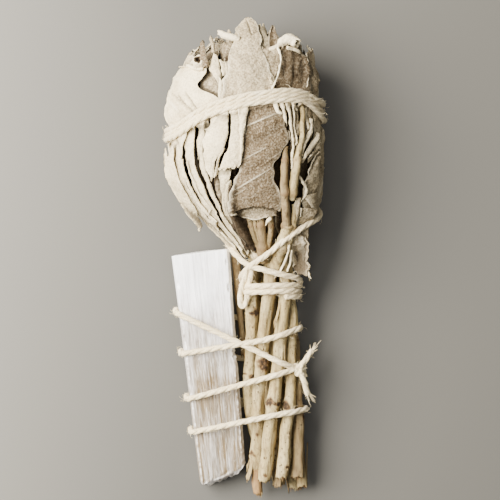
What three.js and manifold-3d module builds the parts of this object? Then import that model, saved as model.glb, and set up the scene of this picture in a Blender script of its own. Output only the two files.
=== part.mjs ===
// A white sage smudge stick lying on a table: nine cut, leafy sage stems tied at the neck and round
// their leafy head with soft cotton string, and a bar of satin spar tied along the bare stems.
// Millimetres. +Y runs from the cut ends to the head's tip, +Z is up from the table, and the origin
// is the middle of the base.
import * as THREE from "three";
import { mergeVertices } from "three/addons/utils/BufferGeometryUtils.js";
import Module from "manifold-3d";

const wasm = await Module();
wasm.setup();

// What each kind of piece looks like.
const SAGE = { color: 0xaaa591, roughness: 0.95 };
const BARE_SAGE = { color: 0xb9ad8d, roughness: 0.85 };
const SPAR = { color: 0xdedbdf, roughness: 0.45 };
const COTTON = { color: 0xe6dcc6, roughness: 0.95 };

// Where the middle of the base lies in the frame of the tables below.
const BASE_MIDDLE = new THREE.Vector3(0.15, -3.6, 0);

// Sizes shared by the pieces.
const STRING_RADIUS = 1.15;
const CLEAR = 0.4; // gap left between two touching pieces
const BLADE = 0.85; // thickness of a leaf blade
const CUP = 0.3; // how far a blade's edges turn in
const LAYERS = { outer: 0.5, second: 2.65, third: 4.6, inner: 6.6 }; // depth of each layer of leaves
const CORE_DEPTH = 12; // how far under the skin the packed inner leaves begin
const TIP_LIFT = 1.3; // how far the tips of the outermost leaves stand off the skin
const GROOVE = 1.7; // how far the string presses the head in
const GROOVE_REACH = 5.5;
const COIL_LIFT = 0.7; // how far the string round the head stands off the pressed skin
const SOLE = 0.2; // how much of the lowest blades is flattened away where they lie on the table
const TUNNEL = 4; // how far the leaves are pushed up round the string under the head
const TUNNEL_REACH = 9;

// The head's skin: the middle and half sizes of its oval section at each height along the bundle.
const HEAD = [
  { y: -16, x: 10.8, z: 20.0, a: 10.9, b: 9.4 },
  { y: -8, x: 10.8, z: 20.9, a: 11.4, b: 10.0 },
  { y: 0, x: 10.4, z: 21.8, a: 14.2, b: 13.0 },
  { y: 8, x: 7.6, z: 22.8, a: 19.6, b: 16.8 },
  { y: 17, x: 3.9, z: 24.0, a: 26.3, b: 21.6 },
  { y: 27, x: 0.9, z: 25.0, a: 31.2, b: 25.2 },
  { y: 40, x: 0.2, z: 26.0, a: 33.2, b: 26.8 },
  { y: 51, x: 0.2, z: 26.1, a: 33.2, b: 27.0 },
  { y: 60, x: -0.1, z: 26.1, a: 32.8, b: 26.8 },
  { y: 68, x: 0.1, z: 26.1, a: 31.6, b: 25.8 },
  { y: 76, x: 1.0, z: 26.1, a: 29.4, b: 24.0 },
  { y: 82, x: 2.6, z: 26.1, a: 27.0, b: 21.8 },
  { y: 88, x: 4.8, z: 26.1, a: 22.6, b: 18.6 },
  { y: 96, x: 6.0, z: 26.1, a: 13.0, b: 11.0 },
];

// The string round the head lies aslant: its height at each angle from the front, in degrees.
const BAND = [
  [-180, 55],
  [-135, 51],
  [-85, 48],
  [-54, 50],
  [-26, 57],
  [4, 61.5],
  [20, 66.5],
  [48, 67],
  [80, 64],
  [135, 58],
  [180, 55],
];

// How deep a stem runs under the skin at each height.
const STEM_DEPTH = [
  [-16, 2.6],
  [-8, 3.2],
  [0, 5.6],
  [8, 7.8],
  [17, 9.8],
  [80, 9.8],
];

// The stems: bare part as rows of [y, x, z, radius] from the cut end up to the neck, then the angle
// at each height up through the head.
const STEMS = {
  stem_front: {
    bare: [
      [-103, 6, 9.6, 1.7],
      [-97, 5.3, 10.8, 2.4],
      [-85, 4.8, 13.5, 2.5],
      [-63.7, 5.7, 18.3, 2.53],
      [-42, 7.3, 22.5, 2.56],
      [-28, 8.6, 24.9, 2.58],
      [-16, 9.7, 26.6, 2.59],
    ],
    head: [[-10, -3], [0, -1], [17, 0], [80, 0]],
    layer: "outer",
  },
  stem_right_front: {
    bare: [
      [-97, 8.2, 15.3, 2.8],
      [-85, 9.3, 17.7, 2.8],
      [-63.7, 11.9, 21.1, 2.68],
      [-42, 14.4, 23.4, 2.56],
      [-28, 15.8, 24.4, 2.49],
      [-16, 16.6, 25, 2.42],
    ],
    head: [[-10, 46], [0, 46], [17, 45], [80, 45]],
    layer: "second",
  },
  stem_right: {
    bare: [
      [-95.5, 15.4, 17.3, 2.6],
      [-85, 16.6, 18.3, 2.59],
      [-63.7, 18.6, 19.7, 2.28],
      [-42, 19.7, 20.3, 1.99],
      [-28, 19.8, 20.5, 1.97],
      [-16, 19.4, 20.6, 1.92],
    ],
    head: [[-10, 88], [0, 89], [17, 90], [80, 90]],
    layer: "outer",
  },
  stem_right_back: {
    bare: [
      [-95.5, 22, 14.6, 2.5],
      [-85, 22.4, 14.9, 2.49],
      [-63.7, 22.2, 15.3, 2.21],
      [-42, 20.9, 15.6, 1.95],
      [-28, 19.5, 15.9, 1.95],
      [-16, 18.1, 16.2, 1.92],
    ],
    head: [[-10, 127], [0, 130], [17, 135], [80, 135]],
    layer: "second",
  },
  stem_back_right: {
    bare: [
      [-100, 24.1, 8.1, 2.2],
      [-85, 22.9, 8.7, 2.2],
      [-63.7, 20.4, 9.7, 2.14],
      [-42, 17.5, 11.2, 2.08],
      [-28, 15.5, 12.3, 2.04],
      [-16, 13.7, 13.5, 2.01],
    ],
    head: [[-10, 166], [0, 172], [17, 180], [80, 180]],
    layer: "outer",
  },
  stem_back: {
    bare: [
      [-101, 21, 2.5, 2.5],
      [-85, 18.8, 4.9, 2.5],
      [-63.7, 15.5, 7.2, 2.38],
      [-42, 12.2, 9.7, 2.26],
      [-28, 10.1, 11.6, 2.19],
      [-16, 8.5, 13.4, 2.12],
    ],
    head: [[-10, 204], [0, 211], [17, 225], [80, 225]],
    layer: "second",
  },
  stem_back_left: {
    bare: [
      [-98, 14.2, 2.6, 2.6],
      [-85, 12.3, 4.3, 2.6],
      [-63.7, 9.5, 7.5, 2.45],
      [-42, 6.9, 11.1, 2.31],
      [-28, 5.4, 13.5, 2.21],
      [-16, 4.3, 15.7, 2.13],
    ],
    head: [[-10, 238], [0, 248], [17, 270], [80, 270]],
    layer: "outer",
  },
  stem_left: {
    bare: [
      [-94, 7, 5.6, 2.3],
      [-85, 5.9, 7.3, 2.3],
      [-63.7, 1.7, 11.3, 2.36],
      [-42, 2.5, 15.5, 2.42],
      [-28, 2.8, 18.3, 2.46],
      [-16, 2.5, 20.6, 2.49],
    ],
    head: [[-10, 281], [0, 294], [10, 309], [17, 315], [80, 315]],
    layer: "second",
  },
};
const MIDDLE_STEM = [
  [-99, 14.4, 9.7, 2.7],
  [-85, 14.2, 11.4, 2.7],
  [-63.7, 13.2, 14.2, 2.6],
  [-42, 12.2, 17.4, 2.5],
  [-28, 11.4, 18.9, 2.4],
  [-16, 10.8, 20.2, 2.3],
  [0, 10.4, 21.8, 2.2],
  [17, 4.6, 24.0, 2.0],
  [30, 1.0, 25.6, 2.0],
];

// Leaves whose place is known: each is [height of its root on the stem, layer, rows of
// [angle, y, half width] from where the blade reaches its layer on to its tip].
const LEAVES = {
  stem_front: [
    [50, "outer", [[4, 60, 5], [4, 68, 8.5], [-1, 78, 7.6], [-8, 87, 4.6], [-17, 96, 0.8]]],
    [62, "third", [[12, 72, 5], [15, 80, 5.5], [20, 88, 3.5], [27, 94.5, 0.8]]],
    [66, "outer", [[11, 56, 5], [13, 50, 8.6], [11, 40, 9.4], [7, 29, 9.8], [3, 18, 7.6]]],
    [60, "outer", [[-6, 50, 3.6], [-6, 45, 4], [-8, 38, 3], [-9, 32, 1.6]]],
    [0, "outer", [[3, 11, 2.2], [9, 17, 3], [16, 24, 3.4], [21, 33, 3]]],
  ],
  stem_right_front: [
    [0, "second", [[47, 11, 3.4], [46, 24, 5.4], [47, 36, 6.4], [50, 48, 6], [53, 58, 3]]],
    [14, "second", [[35, 25, 2.8], [33, 36, 3.6], [33, 48, 3.8], [34, 60, 2]]],
    [6, "second", [[60, 17, 3.4], [67, 27, 5.6], [68, 38, 6.8], [66, 50, 4.6]]],
    [50, "second", [[42, 62, 6.6], [40, 73, 9], [36, 83, 7.4], [31, 91, 1.6]]],
    [53, "second", [[59, 64, 5.2], [65, 73, 6], [64, 82, 4.2], [60, 87, 1.4]]],
    [16, "inner", [[45, 26, 8], [46, 40, 10], [45, 54, 6]]],
  ],
  stem_right: [
    [0, "outer", [[86, 12, 4], [84, 24, 8], [86, 37, 9.4], [85, 50, 5]]],
    [6, "outer", [[108, 17, 4.4], [113, 30, 7.4], [113, 44, 7.6], [109, 53, 3.2]]],
    [44, "outer", [[86, 55, 7], [82, 66, 9.4], [78, 77, 8], [70, 87, 2]]],
    [48, "outer", [[106, 60, 6], [110, 70, 8], [106, 81, 3]]],
    [22, "third", [[90, 33, 8], [90, 46, 9.6], [90, 60, 6]]],
  ],
  stem_back_right: [
    [0, "outer", [[180, 12, 4], [181, 25, 8], [181, 38, 9.6], [180, 50, 5]]],
    [5, "outer", [[169, 17, 3], [153, 30, 6], [150, 43, 7], [154, 54, 3]]],
    [8, "outer", [[192, 18, 3], [208, 31, 6], [209, 43, 6.4], [205, 54, 3]]],
    [46, "outer", [[180, 60, 6], [178, 69, 9], [180, 79, 7.4], [185, 88, 1.6]]],
    [50, "outer", [[162, 62, 4], [154, 70, 6.6], [157, 79, 5], [164, 86, 1.2]]],
    [50, "outer", [[198, 62, 4], [206, 70, 6.6], [203, 79, 5], [196, 86, 1.2]]],
  ],
  stem_back_left: [
    [-1, "outer", [[272, 12, 4.6], [284, 23, 8], [291, 33, 8.6], [293, 43, 6]]],
    [3, "outer", [[254, 14, 4.4], [248, 27, 7.6], [248, 41, 8.2], [250, 53, 4]]],
    [46, "outer", [[284, 56, 5], [299, 65, 9], [301, 75, 8.4], [295, 84, 2.4]]],
    [42, "outer", [[268, 54, 6], [266, 66, 8], [270, 78, 4]]],
    [50, "outer", [[246, 62, 6], [246, 73, 7.6], [252, 83, 3]]],
    [22, "third", [[270, 33, 8], [270, 46, 9.6], [270, 60, 6]]],
  ],
  stem_left: [
    [0, "second", [[328, 11, 4.2], [337, 22, 6.4], [341, 33, 8], [340, 46, 8.6], [338, 60, 5.6]]],
    [4, "second", [[311, 14, 4.6], [317, 26, 6], [316, 38, 6.4], [317, 50, 4.6]]],
    [10, "second", [[303, 22, 3.6], [296, 34, 5.4], [297, 46, 5], [300, 55, 2.6]]],
    [50, "second", [[328, 60, 5.8], [330, 70, 8.6], [327, 80, 7], [318, 89, 2]]],
    [56, "second", [[344, 67, 5], [342, 76, 6], [335, 85, 4.4], [325, 92, 1]]],
    [46, "second", [[304, 57, 5.4], [298, 68, 7.4], [298, 78, 3.6]]],
    [16, "inner", [[315, 26, 8], [314, 40, 10], [315, 54, 6]]],
  ],
};

// The same for the stems at the back, turned round the head: two leaves abreast, low and high.
const BACK_LEAVES = [
  [0, [[-10, 12, 4], [-19, 25, 7.6], [-20, 38, 8.6], [-18, 51, 4.4]]],
  [5, [[10, 17, 4], [20, 30, 7.4], [20, 43, 8.2], [17, 55, 3.4]]],
  [45, [[-12, 56, 6], [-20, 66, 8.6], [-19, 77, 7.4], [-10, 87, 2]]],
  [49, [[13, 60, 6], [20, 70, 8], [17, 80, 6.4], [8, 88, 1.8]]],
];
const BACK_INNER = [
  [20, [[0, 31, 8], [0, 45, 9.8], [0, 58, 6]]],
  [50, [[0, 62, 8], [0, 73, 9], [0, 85, 3]]],
];

// Leaves that leave the skin: [angle, y, depth, half width] all along.
const LOOSE_LEAVES = {
  stem_right: [
    [
      [86, 8, 7, 1.2],
      [74, 9, 2, 2.4],
      [62, 5, -0.6, 3.4],
      [60, -1, -0.9, 3.6],
      [63, -6, -0.9, 3],
      [64, -9.8, -0.8, 1.6],
    ],
  ],
  stem_back_left: [
    [
      [262, 2, 5.8, 1.2],
      [274, 9, 1.2, 3],
      [278, 12, -1.6, 3.6],
      [274, 10, -4.6, 2.6],
      [271, 7, -7.4, 1],
    ],
  ],
  stem_left: [
    [
      [296, 0, 5.8, 1.2],
      [312, 2, 3.4, 2.6],
      [326, 8, 2.7, 3.4],
      [335, 15, 2.65, 3.4],
      [337, 22, 2.65, 2.4],
    ],
  ],
};

// Thin shoots that show on the head's front: [angle, y, depth, radius] along each.
const SHOOTS = {
  stem_front: [
    [
      [-3, -8, 2.8, 1.3],
      [-9, 0, 2.6, 1.1],
      [-11, 8, 2.4, 1],
      [-6, 17, 2.8, 0.9],
      [-3, 24, 3.2, 0.8],
    ],
    [
      [3, -5, 2.8, 1.3],
      [7, 4, 2.4, 1.1],
      [8, 12, 2.2, 1],
      [6, 21, 2.6, 0.9],
    ],
    [
      [-3, -10, 3, 2.5],
      [4, -4, 2.6, 2.3],
      [20, 3, 2, 2.1],
      [29, 9, 1, 1.9],
      [34, 16, -0.4, 1.7],
      [38, 25, -0.2, 1.4],
      [40, 36, 0, 1.2],
      [42, 46, 0.1, 1.05],
      [46, 57, 0.3, 0.9],
    ],
    [
      [12, 0, 2.4, 1.2],
      [21, 8, 1.3, 1.1],
      [27, 15, 0.2, 1],
      [30, 26, 0.3, 0.85],
      [31, 38, 0.5, 0.7],
    ],
  ],
};

// The bar of satin spar: the corners of its front as seen from above, as [x, y], and its height.
const BAR = {
  topLeft: [-30.6, -2.6],
  topRight: [-6.6, 0.4],
  bottomLeft: [-18.7, -99.5],
  bottomRight: [0.2, -92.2],
  topMiddleZ: 18.6,
  bottomMiddleZ: 6.3,
  halfThick: 6.2,
  notch: [0.47, 0.13], // where the chip in the right edge is, and how deep
};
const BAR_SECTION = [
  [-1, -0.55],
  [-1, 0.5],
  [-0.9, 0.94],
  [-0.3, 1.02],
  [0.28, 0.95],
  [0.88, 1],
  [1, 0.62],
  [0.98, -0.6],
  [0.86, -0.98],
  [0, -1],
  [-0.9, -0.96],
];
const BAR_STATIONS = [0, 0.06, 0.2, 0.34, 0.44, 0.47, 0.5, 0.64, 0.8, 0.93, 1];

// Where the long string crosses the bar and the stems: each pass is [x, y] from one side over to
// the other, in front or behind.
const TIE_KNOT = [22.6, -50.2];
const TIE_PASSES = [
  { front: true, line: [[24, -50.6], [-1, -40.4], [-29, -26.2]] },
  { front: false, line: [[-29, -25.2], [24, -32]] },
  { front: true, line: [[24, -32.4], [11, -37], [-1, -39.4], [-27, -43.6]] },
  { front: false, line: [[-27, -42.6], [24, -49]] },
  { front: true, line: [[24, -48.8], [6, -54.4], [-6, -58.6], [-24, -62.6]] },
  { front: false, line: [[-24, -61.6], [26, -66.6]] },
  { front: true, line: [[26, -66.8], [10.6, -69.4], [-2, -72.6], [-22, -76.6]] },
  { front: false, line: [[-22, -75.6], [25, -52.4]] },
];
const TIE_TAILS = [
  [[22.6, -50.2, 0], [25.4, -46.4, 0.4], [28, -42.6, -1.6], [29.8, -39.5, -3.4]],
  [[22.6, -50.2, 0], [25, -55, 0.8], [26.6, -61, -1], [26.8, -67, -3.4]],
];

// The string round the neck and the head: heights of whole turns, and [angle, y, lift off the skin]
// along each slanting stretch.
const NECK_WRAPS = [-14.9, -17.3];
const NECK_HALF_WRAP = { from: 30, to: 175, y: -19.4 };
const NECK_CROSSING = [
  [
    [126, 59.5, 0.5],
    [116, 50, 0.4],
    [104, 32, 0.2],
    [90, 16, 0.2],
    [54, 10.2, 0.4],
    [25, 4.4, 0.6],
    [-4, -1.6, 0.2],
    [-42, -7, 0.3],
    [-80, -11, 0],
    [-130, -14.6, 0],
  ],
  [
    [-128, 51, 0.5],
    [-118, 42, 0.4],
    [-108, 24, 0.2],
    [-96, 7, 0.2],
    [-78, -0.6, 0],
    [-52, -5.6, 0],
    [-10, -8.4, 0],
    [30, -10.6, 0],
    [70, -12, 0],
    [110, -14.4, 0],
  ],
];
const NECK_LOOP = [
  [-40, -7.2, 0.3],
  [-46, -11, 2.2],
  [-52, -17, 2.2],
  [-56, -22, 1],
];

const CORNERS = 12; // points on the ring that a taut string is led round at each corner

const radians = (degrees) => (degrees * Math.PI) / 180;
const mix = (a, b, t) => a + (b - a) * t;

// A repeatable stream of numbers from 0 to 1.
function seeded(seed) {
  let state = seed >>> 0;
  return () => {
    state = (Math.imul(state, 1664525) + 1013904223) >>> 0;
    return state / 4294967296;
  };
}

// The value at `at` on a smooth line through rows of [at, value].
function through(rows, at) {
  const last = rows.length - 1;
  if (at <= rows[0][0]) return rows[0][1];
  if (at >= rows[last][0]) return rows[last][1];
  let i = 0;
  while (rows[i + 1][0] < at) i += 1;
  const slope = (k) => {
    const low = rows[Math.max(0, k - 1)];
    const high = rows[Math.min(last, k + 1)];
    return (high[1] - low[1]) / (high[0] - low[0]);
  };
  const span = rows[i + 1][0] - rows[i][0];
  const t = (at - rows[i][0]) / span;
  const rest = 1 - t;
  return (
    rows[i][1] * (1 + 2 * t) * rest * rest +
    rows[i + 1][1] * (3 - 2 * t) * t * t +
    span * (slope(i) * t * rest * rest - slope(i + 1) * t * t * rest)
  );
}

// One column of a table of rows, read against the row's first entry.
const column = (rows, index, at) => through(rows.map((row) => [row[0], row[index]]), at);

const skinRows = (key) => HEAD.map((row) => [row.y, row[key]]);
const SKIN = { x: skinRows("x"), z: skinRows("z"), a: skinRows("a"), b: skinRows("b") };

// The head's oval section at height y.
const skin = (y) => ({
  x: through(SKIN.x, y),
  z: through(SKIN.z, y),
  a: through(SKIN.a, y),
  b: through(SKIN.b, y),
});

const band = (angle) => through(BAND, ((((angle + 180) % 360) + 360) % 360) - 180);

// The point at an angle from the front, a height, and a depth under the skin. The skin is pressed
// in under the string and is flat where it lies on the table; a negative depth is the string's own.
function onHead(angle, y, depth) {
  const s = skin(y);
  const off = y - band(angle);
  const pressed = depth + GROOVE * Math.exp(-((off / GROOVE_REACH) ** 2));
  const raised = TUNNEL * Math.exp(-((off / TUNNEL_REACH) ** 2));
  const lowest = depth < -1 ? STRING_RADIUS + 0.05 : depth - LAYERS.outer + BLADE / 2 - SOLE + raised;
  const z = s.z + (s.b - pressed) * Math.cos(radians(angle));
  return new THREE.Vector3(
    s.x + (s.a - pressed) * Math.sin(radians(angle)),
    y,
    Math.max(z, lowest),
  );
}

// A closed body through rings of points, each ring with the same count, capped at both ends.
function loft(rings) {
  const sides = rings[0].length;
  const points = rings.flat();
  const index = [];
  for (let r = 0; r < rings.length - 1; r += 1) {
    for (let s = 0; s < sides; s += 1) {
      const a = r * sides + s;
      const b = r * sides + ((s + 1) % sides);
      index.push(a, b, b + sides, a, b + sides, a + sides);
    }
  }
  for (const end of [0, rings.length - 1]) {
    const middle = new THREE.Vector3();
    rings[end].forEach((p) => middle.addScaledVector(p, 1 / sides));
    points.push(middle);
    for (let s = 0; s < sides; s += 1) {
      const a = end * sides + s;
      const b = end * sides + ((s + 1) % sides);
      if (end === 0) index.push(b, a, points.length - 1);
      else index.push(a, b, points.length - 1);
    }
  }
  return solid(points, index);
}

// Points and triangles as a solid.
function solid(points, index) {
  const geometry = new THREE.BufferGeometry().setFromPoints(points);
  geometry.setIndex(index);
  return closed(geometry);
}

// A closed geometry as a solid that can be joined and cut, with its faces turned outward.
function closed(geometry) {
  geometry.deleteAttribute("normal");
  geometry.deleteAttribute("uv");
  const merged = mergeVertices(geometry, 1e-4);
  const vertProperties = new Float32Array(merged.attributes.position.array);
  const triVerts = new Uint32Array(merged.index.array);
  const made = new wasm.Manifold(new wasm.Mesh({ numProp: 3, vertProperties, triVerts }));
  if (made.volume() > 0) return made;
  for (let i = 0; i < triVerts.length; i += 3) {
    [triVerts[i + 1], triVerts[i + 2]] = [triVerts[i + 2], triVerts[i + 1]];
  }
  return new wasm.Manifold(new wasm.Mesh({ numProp: 3, vertProperties, triVerts }));
}

// A solid as a named three.js mesh.
function meshOf(name, made, look) {
  const { vertProperties, triVerts, numProp } = made.getMesh();
  const positions = [];
  for (const v of triVerts) {
    positions.push(...vertProperties.slice(v * numProp, v * numProp + 3));
  }
  const geometry = new THREE.BufferGeometry();
  geometry.setAttribute("position", new THREE.Float32BufferAttribute(positions, 3));
  geometry.computeVertexNormals();
  const mesh = new THREE.Mesh(geometry, new THREE.MeshStandardMaterial({ metalness: 0, ...look }));
  mesh.name = name;
  mesh.position.copy(BASE_MIDDLE).negate();
  return mesh;
}

const joined = (solids) => solids.reduce((sum, next) => sum.add(next));

// The largest body of a solid: crumbs that a cut leaves are dropped.
const largest = (made) =>
  made.decompose().reduce((best, next) => (next.volume() > best.volume() ? next : best));

// A round rod along a line of points, with a radius at each point.
function rod(points, radii, sides = 8) {
  const rings = [];
  let across = new THREE.Vector3(0.1, 0.1, 1);
  points.forEach((p, i) => {
    const before = points[Math.max(0, i - 1)];
    const after = points[Math.min(points.length - 1, i + 1)];
    const along = after.clone().sub(before).normalize();
    across = across.clone().addScaledVector(along, -across.dot(along)).normalize();
    const side = new THREE.Vector3().crossVectors(along, across);
    const ring = [];
    for (let s = 0; s < sides; s += 1) {
      const angle = (s / sides) * 2 * Math.PI;
      const out = across.clone().multiplyScalar(radii[i] * Math.cos(angle));
      ring.push(p.clone().add(out.addScaledVector(side, radii[i] * Math.sin(angle))));
    }
    rings.push(ring);
  });
  return loft(rings);
}

// A leaf blade that lies along the skin. Rows of `spine` are [angle, y, depth, half width].
function blade(spine, seed, steps = 8) {
  const phase = seeded(seed * 7919)() * 6.28;
  const wide = spine.some((row) => row[3] > 6.9);
  const columns = wide ? [-1, -0.4, 0.4, 1] : [-1, 0, 1];
  const last = spine.length - 1;
  const lanes = [0, 1, 2, 3].map((key) => spine.map((row, i) => [i / last, row[key]]));
  const [angleAt, yAt, depthAt, halfAt] = lanes.map((lane) => (t) => through(lane, t));
  const step = 0.5 / steps;
  const points = [];
  for (let i = 0; i <= steps; i += 1) {
    const t = i / steps;
    const [angle, y, depth] = [angleAt(t), yAt(t), depthAt(t)];
    const s = skin(y);
    const perDegree = radians(
      Math.hypot((s.a - depth) * Math.cos(radians(angle)), (s.b - depth) * Math.sin(radians(angle))),
    );
    const [low, high] = [Math.max(0, t - step), Math.min(1, t + step)];
    const runAngle = (angleAt(high) - angleAt(low)) * perDegree;
    const runY = yAt(high) - yAt(low);
    const run = Math.hypot(runAngle, runY) || 1;
    const ripple = halfAt(t) > 2.5 ? 1 + 0.07 * Math.sin(phase + i * 2.3) : 1;
    const half = Math.max(0.6, halfAt(t)) * ripple;
    columns.forEach((v, c) => {
      const dip = depth + CUP * v * v + 0.12 * Math.sin(phase + i * 1.7 + c * 2.1);
      const at = [angle + (v * half * runY) / run / perDegree, y - (v * half * runAngle) / run];
      points.push(onHead(...at, dip - BLADE / 2), onHead(...at, dip + BLADE / 2));
    });
  }
  const at = (i, c, face) => (i * columns.length + c) * 2 + face;
  const index = [];
  const quad = (a, b, c, d) => index.push(a, b, c, a, c, d);
  const edge = columns.length - 1;
  for (let i = 0; i < steps; i += 1) {
    for (let c = 0; c < edge; c += 1) {
      quad(at(i, c, 0), at(i, c + 1, 0), at(i + 1, c + 1, 0), at(i + 1, c, 0));
      index.push(at(i, c, 1), at(i + 1, c + 1, 1), at(i, c + 1, 1));
      index.push(at(i, c, 1), at(i + 1, c, 1), at(i + 1, c + 1, 1));
    }
    quad(at(i, 0, 0), at(i + 1, 0, 0), at(i + 1, 0, 1), at(i, 0, 1));
    quad(at(i, edge, 1), at(i + 1, edge, 1), at(i + 1, edge, 0), at(i, edge, 0));
  }
  for (let c = 0; c < edge; c += 1) {
    quad(at(0, c, 0), at(0, c, 1), at(0, c + 1, 1), at(0, c + 1, 0));
    quad(at(steps, c, 1), at(steps, c, 0), at(steps, c + 1, 0), at(steps, c + 1, 1));
  }
  return solid(points, index);
}

// The middle and radius of a bare stem at height y.
const bareAt = (rows, y) => ({ x: column(rows, 1, y), z: column(rows, 2, y), r: column(rows, 3, y) });

// A stem from its cut end up into the head.
function stemRod(stem) {
  const points = [];
  const radii = [];
  const [end] = stem.bare[0];
  for (let y = end; y < -17; y += Math.min(9, Math.max(4, -17 - y))) {
    const s = bareAt(stem.bare, y);
    points.push(new THREE.Vector3(s.x, y, s.z));
    radii.push(s.r);
  }
  for (const y of [-16, -8, 0, 8, 17, 30, 46, 62, 76]) {
    points.push(onHead(column(stem.head, 1, y), y, through(STEM_DEPTH, y)));
    radii.push(mix(stem.bare[stem.bare.length - 1][3], 1.3, Math.min(1, (y + 16) / 44)));
  }
  return rod(points, radii);
}

// A leaf: its root leaves the stem, rises to its layer, and the blade runs on from there.
function leaf(stem, [rootY, layer, rows], seed) {
  const depth = LAYERS[layer];
  const free = layer === "outer" ? TIP_LIFT : 0;
  const under = through(STEM_DEPTH, rootY);
  const rootAngle = column(stem.head, 1, rootY);
  const [firstAngle, firstY] = rows[0];
  const rise = (t) => [mix(rootAngle, firstAngle, t * t), mix(rootY, firstY, t)];
  const spine = [
    [...rise(0), under, 1],
    [...rise(0.4), mix(under, depth, 0.45), 1.1],
    [...rise(0.75), mix(under, depth, 0.9), 1.5],
    ...rows.map(([angle, y, half], i) => {
      const tip = i === rows.length - 1 && Math.abs(y - band(angle)) > 12;
      return [angle, y, tip ? depth - free : depth, half];
    }),
  ];
  const visible = layer === "outer" || layer === "second";
  return blade(spine, seed, rows.length + (visible ? 2 : 1));
}

function backLeaves(stem) {
  const turn = column(stem.head, 1, 40);
  const inner = stem.layer === "outer" ? "third" : "inner";
  const turned = (layer) => ([rootY, rows]) => [
    rootY,
    layer,
    rows.map(([angle, y, half]) => [turn + angle, y, half]),
  ];
  return [...BACK_LEAVES.map(turned(stem.layer)), ...BACK_INNER.map(turned(inner))];
}

// A stem with its leaves and shoots.
function leafyStem(name, number) {
  const stem = STEMS[name];
  const leaves = LEAVES[name] ?? backLeaves(stem);
  const pieces = [stemRod(stem)];
  leaves.forEach((row, i) => pieces.push(leaf(stem, row, number * 20 + i + 1)));
  (LOOSE_LEAVES[name] ?? []).forEach((spine, i) => {
    pieces.push(blade(spine, number * 20 + i + 12, spine.length + 1));
  });
  for (const shoot of SHOOTS[name] ?? []) {
    const points = shoot.map(([angle, y, depth]) => onHead(angle, y, depth));
    pieces.push(rod(points, shoot.map((row) => row[3]), 6));
  }
  return joined(pieces);
}

// The middle stem: a rod, the packed inner leaves as one lump, and leaf tips that stand up from it.
function middleStem() {
  const points = MIDDLE_STEM.map(([y, x, z]) => new THREE.Vector3(x, y, z));
  const pieces = [rod(points, MIDDLE_STEM.map((row) => row[3]))];
  const rings = [];
  for (const y of [16, 22, 30, 40, 52, 62, 70, 77, 82]) {
    const ring = [];
    const narrow = y < 20 ? 3.4 : 0;
    for (let s = 0; s < 20; s += 1) {
      const fold = 0.8 * Math.sin(s * 2.51 + y * 0.35);
      ring.push(onHead((s / 20) * 360, y, CORE_DEPTH + Math.abs(fold) + narrow));
    }
    rings.push(ring);
  }
  pieces.push(loft(rings));
  for (let i = 0; i < 7; i += 1) {
    const angle = i * 51.4 + 20;
    const depth = i % 2 ? 12.4 : 14.4;
    const top = 89 - 2.2 * ((i * 3) % 4);
    const spine = [
      [angle, 66, depth + 1.4, 4],
      [angle, 75, depth + 0.6, 6],
      [angle, 83, depth - 2.6, 5],
      [angle + 6, top, depth - 4, 1.4],
    ];
    pieces.push(blade(spine, 300 + i, 5));
  }
  return joined(pieces);
}

// The bar's corner points at a station from its top, 0, to its bottom, 1.
function barPoint(t, [u, v]) {
  const left = [0, 1].map((k) => mix(BAR.topLeft[k], BAR.bottomLeft[k], t));
  const right = [0, 1].map((k) => mix(BAR.topRight[k], BAR.bottomRight[k], t));
  const chipped = u > 0.8 && Math.abs(t - BAR.notch[0]) < 0.01 ? u - BAR.notch[1] : u;
  const across = (chipped + 1) / 2;
  const rough = 1 + 0.02 * Math.sin(t * 23 + u * 5 + v * 3);
  return new THREE.Vector3(
    mix(left[0], right[0], across),
    mix(left[1], right[1], across),
    mix(BAR.topMiddleZ, BAR.bottomMiddleZ, t) + v * BAR.halfThick * rough,
  );
}

function satinSpar() {
  const rings = BAR_STATIONS.map((t) =>
    BAR_SECTION.map(([u, v]) => {
      const end = t === 0 || t === 1 ? 0.94 : 1;
      return barPoint(t, [u * end, v * end]);
    }),
  );
  return loft(rings);
}

// The outline of the bar and the stems where a slanted pass of string crosses them, as points
// [x, z] swollen by the string's own half thickness.
function crossed(line) {
  const yAt = (x) => {
    const rows = [...line].sort((p, q) => p[0] - q[0]);
    let i = 0;
    while (i < rows.length - 2 && rows[i + 1][0] < x) i += 1;
    const [[x0, y0], [x1, y1]] = [rows[i], rows[i + 1]];
    return mix(y0, y1, Math.min(1, Math.max(0, (x - x0) / (x1 - x0))));
  };
  const swell = STRING_RADIUS + CLEAR + 0.1;
  const outline = [];
  const ring = (x, z, r) => {
    for (let k = 0; k < CORNERS; k += 1) {
      const angle = (k / CORNERS) * 2 * Math.PI;
      const reach = r / Math.cos(Math.PI / CORNERS);
      outline.push([x + reach * Math.cos(angle), z + reach * Math.sin(angle)]);
    }
  };
  for (const { bare } of Object.values(STEMS)) {
    let s = bareAt(bare, -50);
    for (let k = 0; k < 4; k += 1) s = bareAt(bare, yAt(s.x));
    ring(s.x, s.z, s.r + swell);
  }
  for (const corner of BAR_SECTION) {
    let t = 0.5;
    let p = barPoint(t, corner);
    for (let k = 0; k < 6; k += 1) {
      t += (p.y - yAt(p.x)) / 96;
      p = barPoint(t, corner);
    }
    ring(p.x, p.z, swell + 0.15);
  }
  return { outline, yAt };
}

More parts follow.
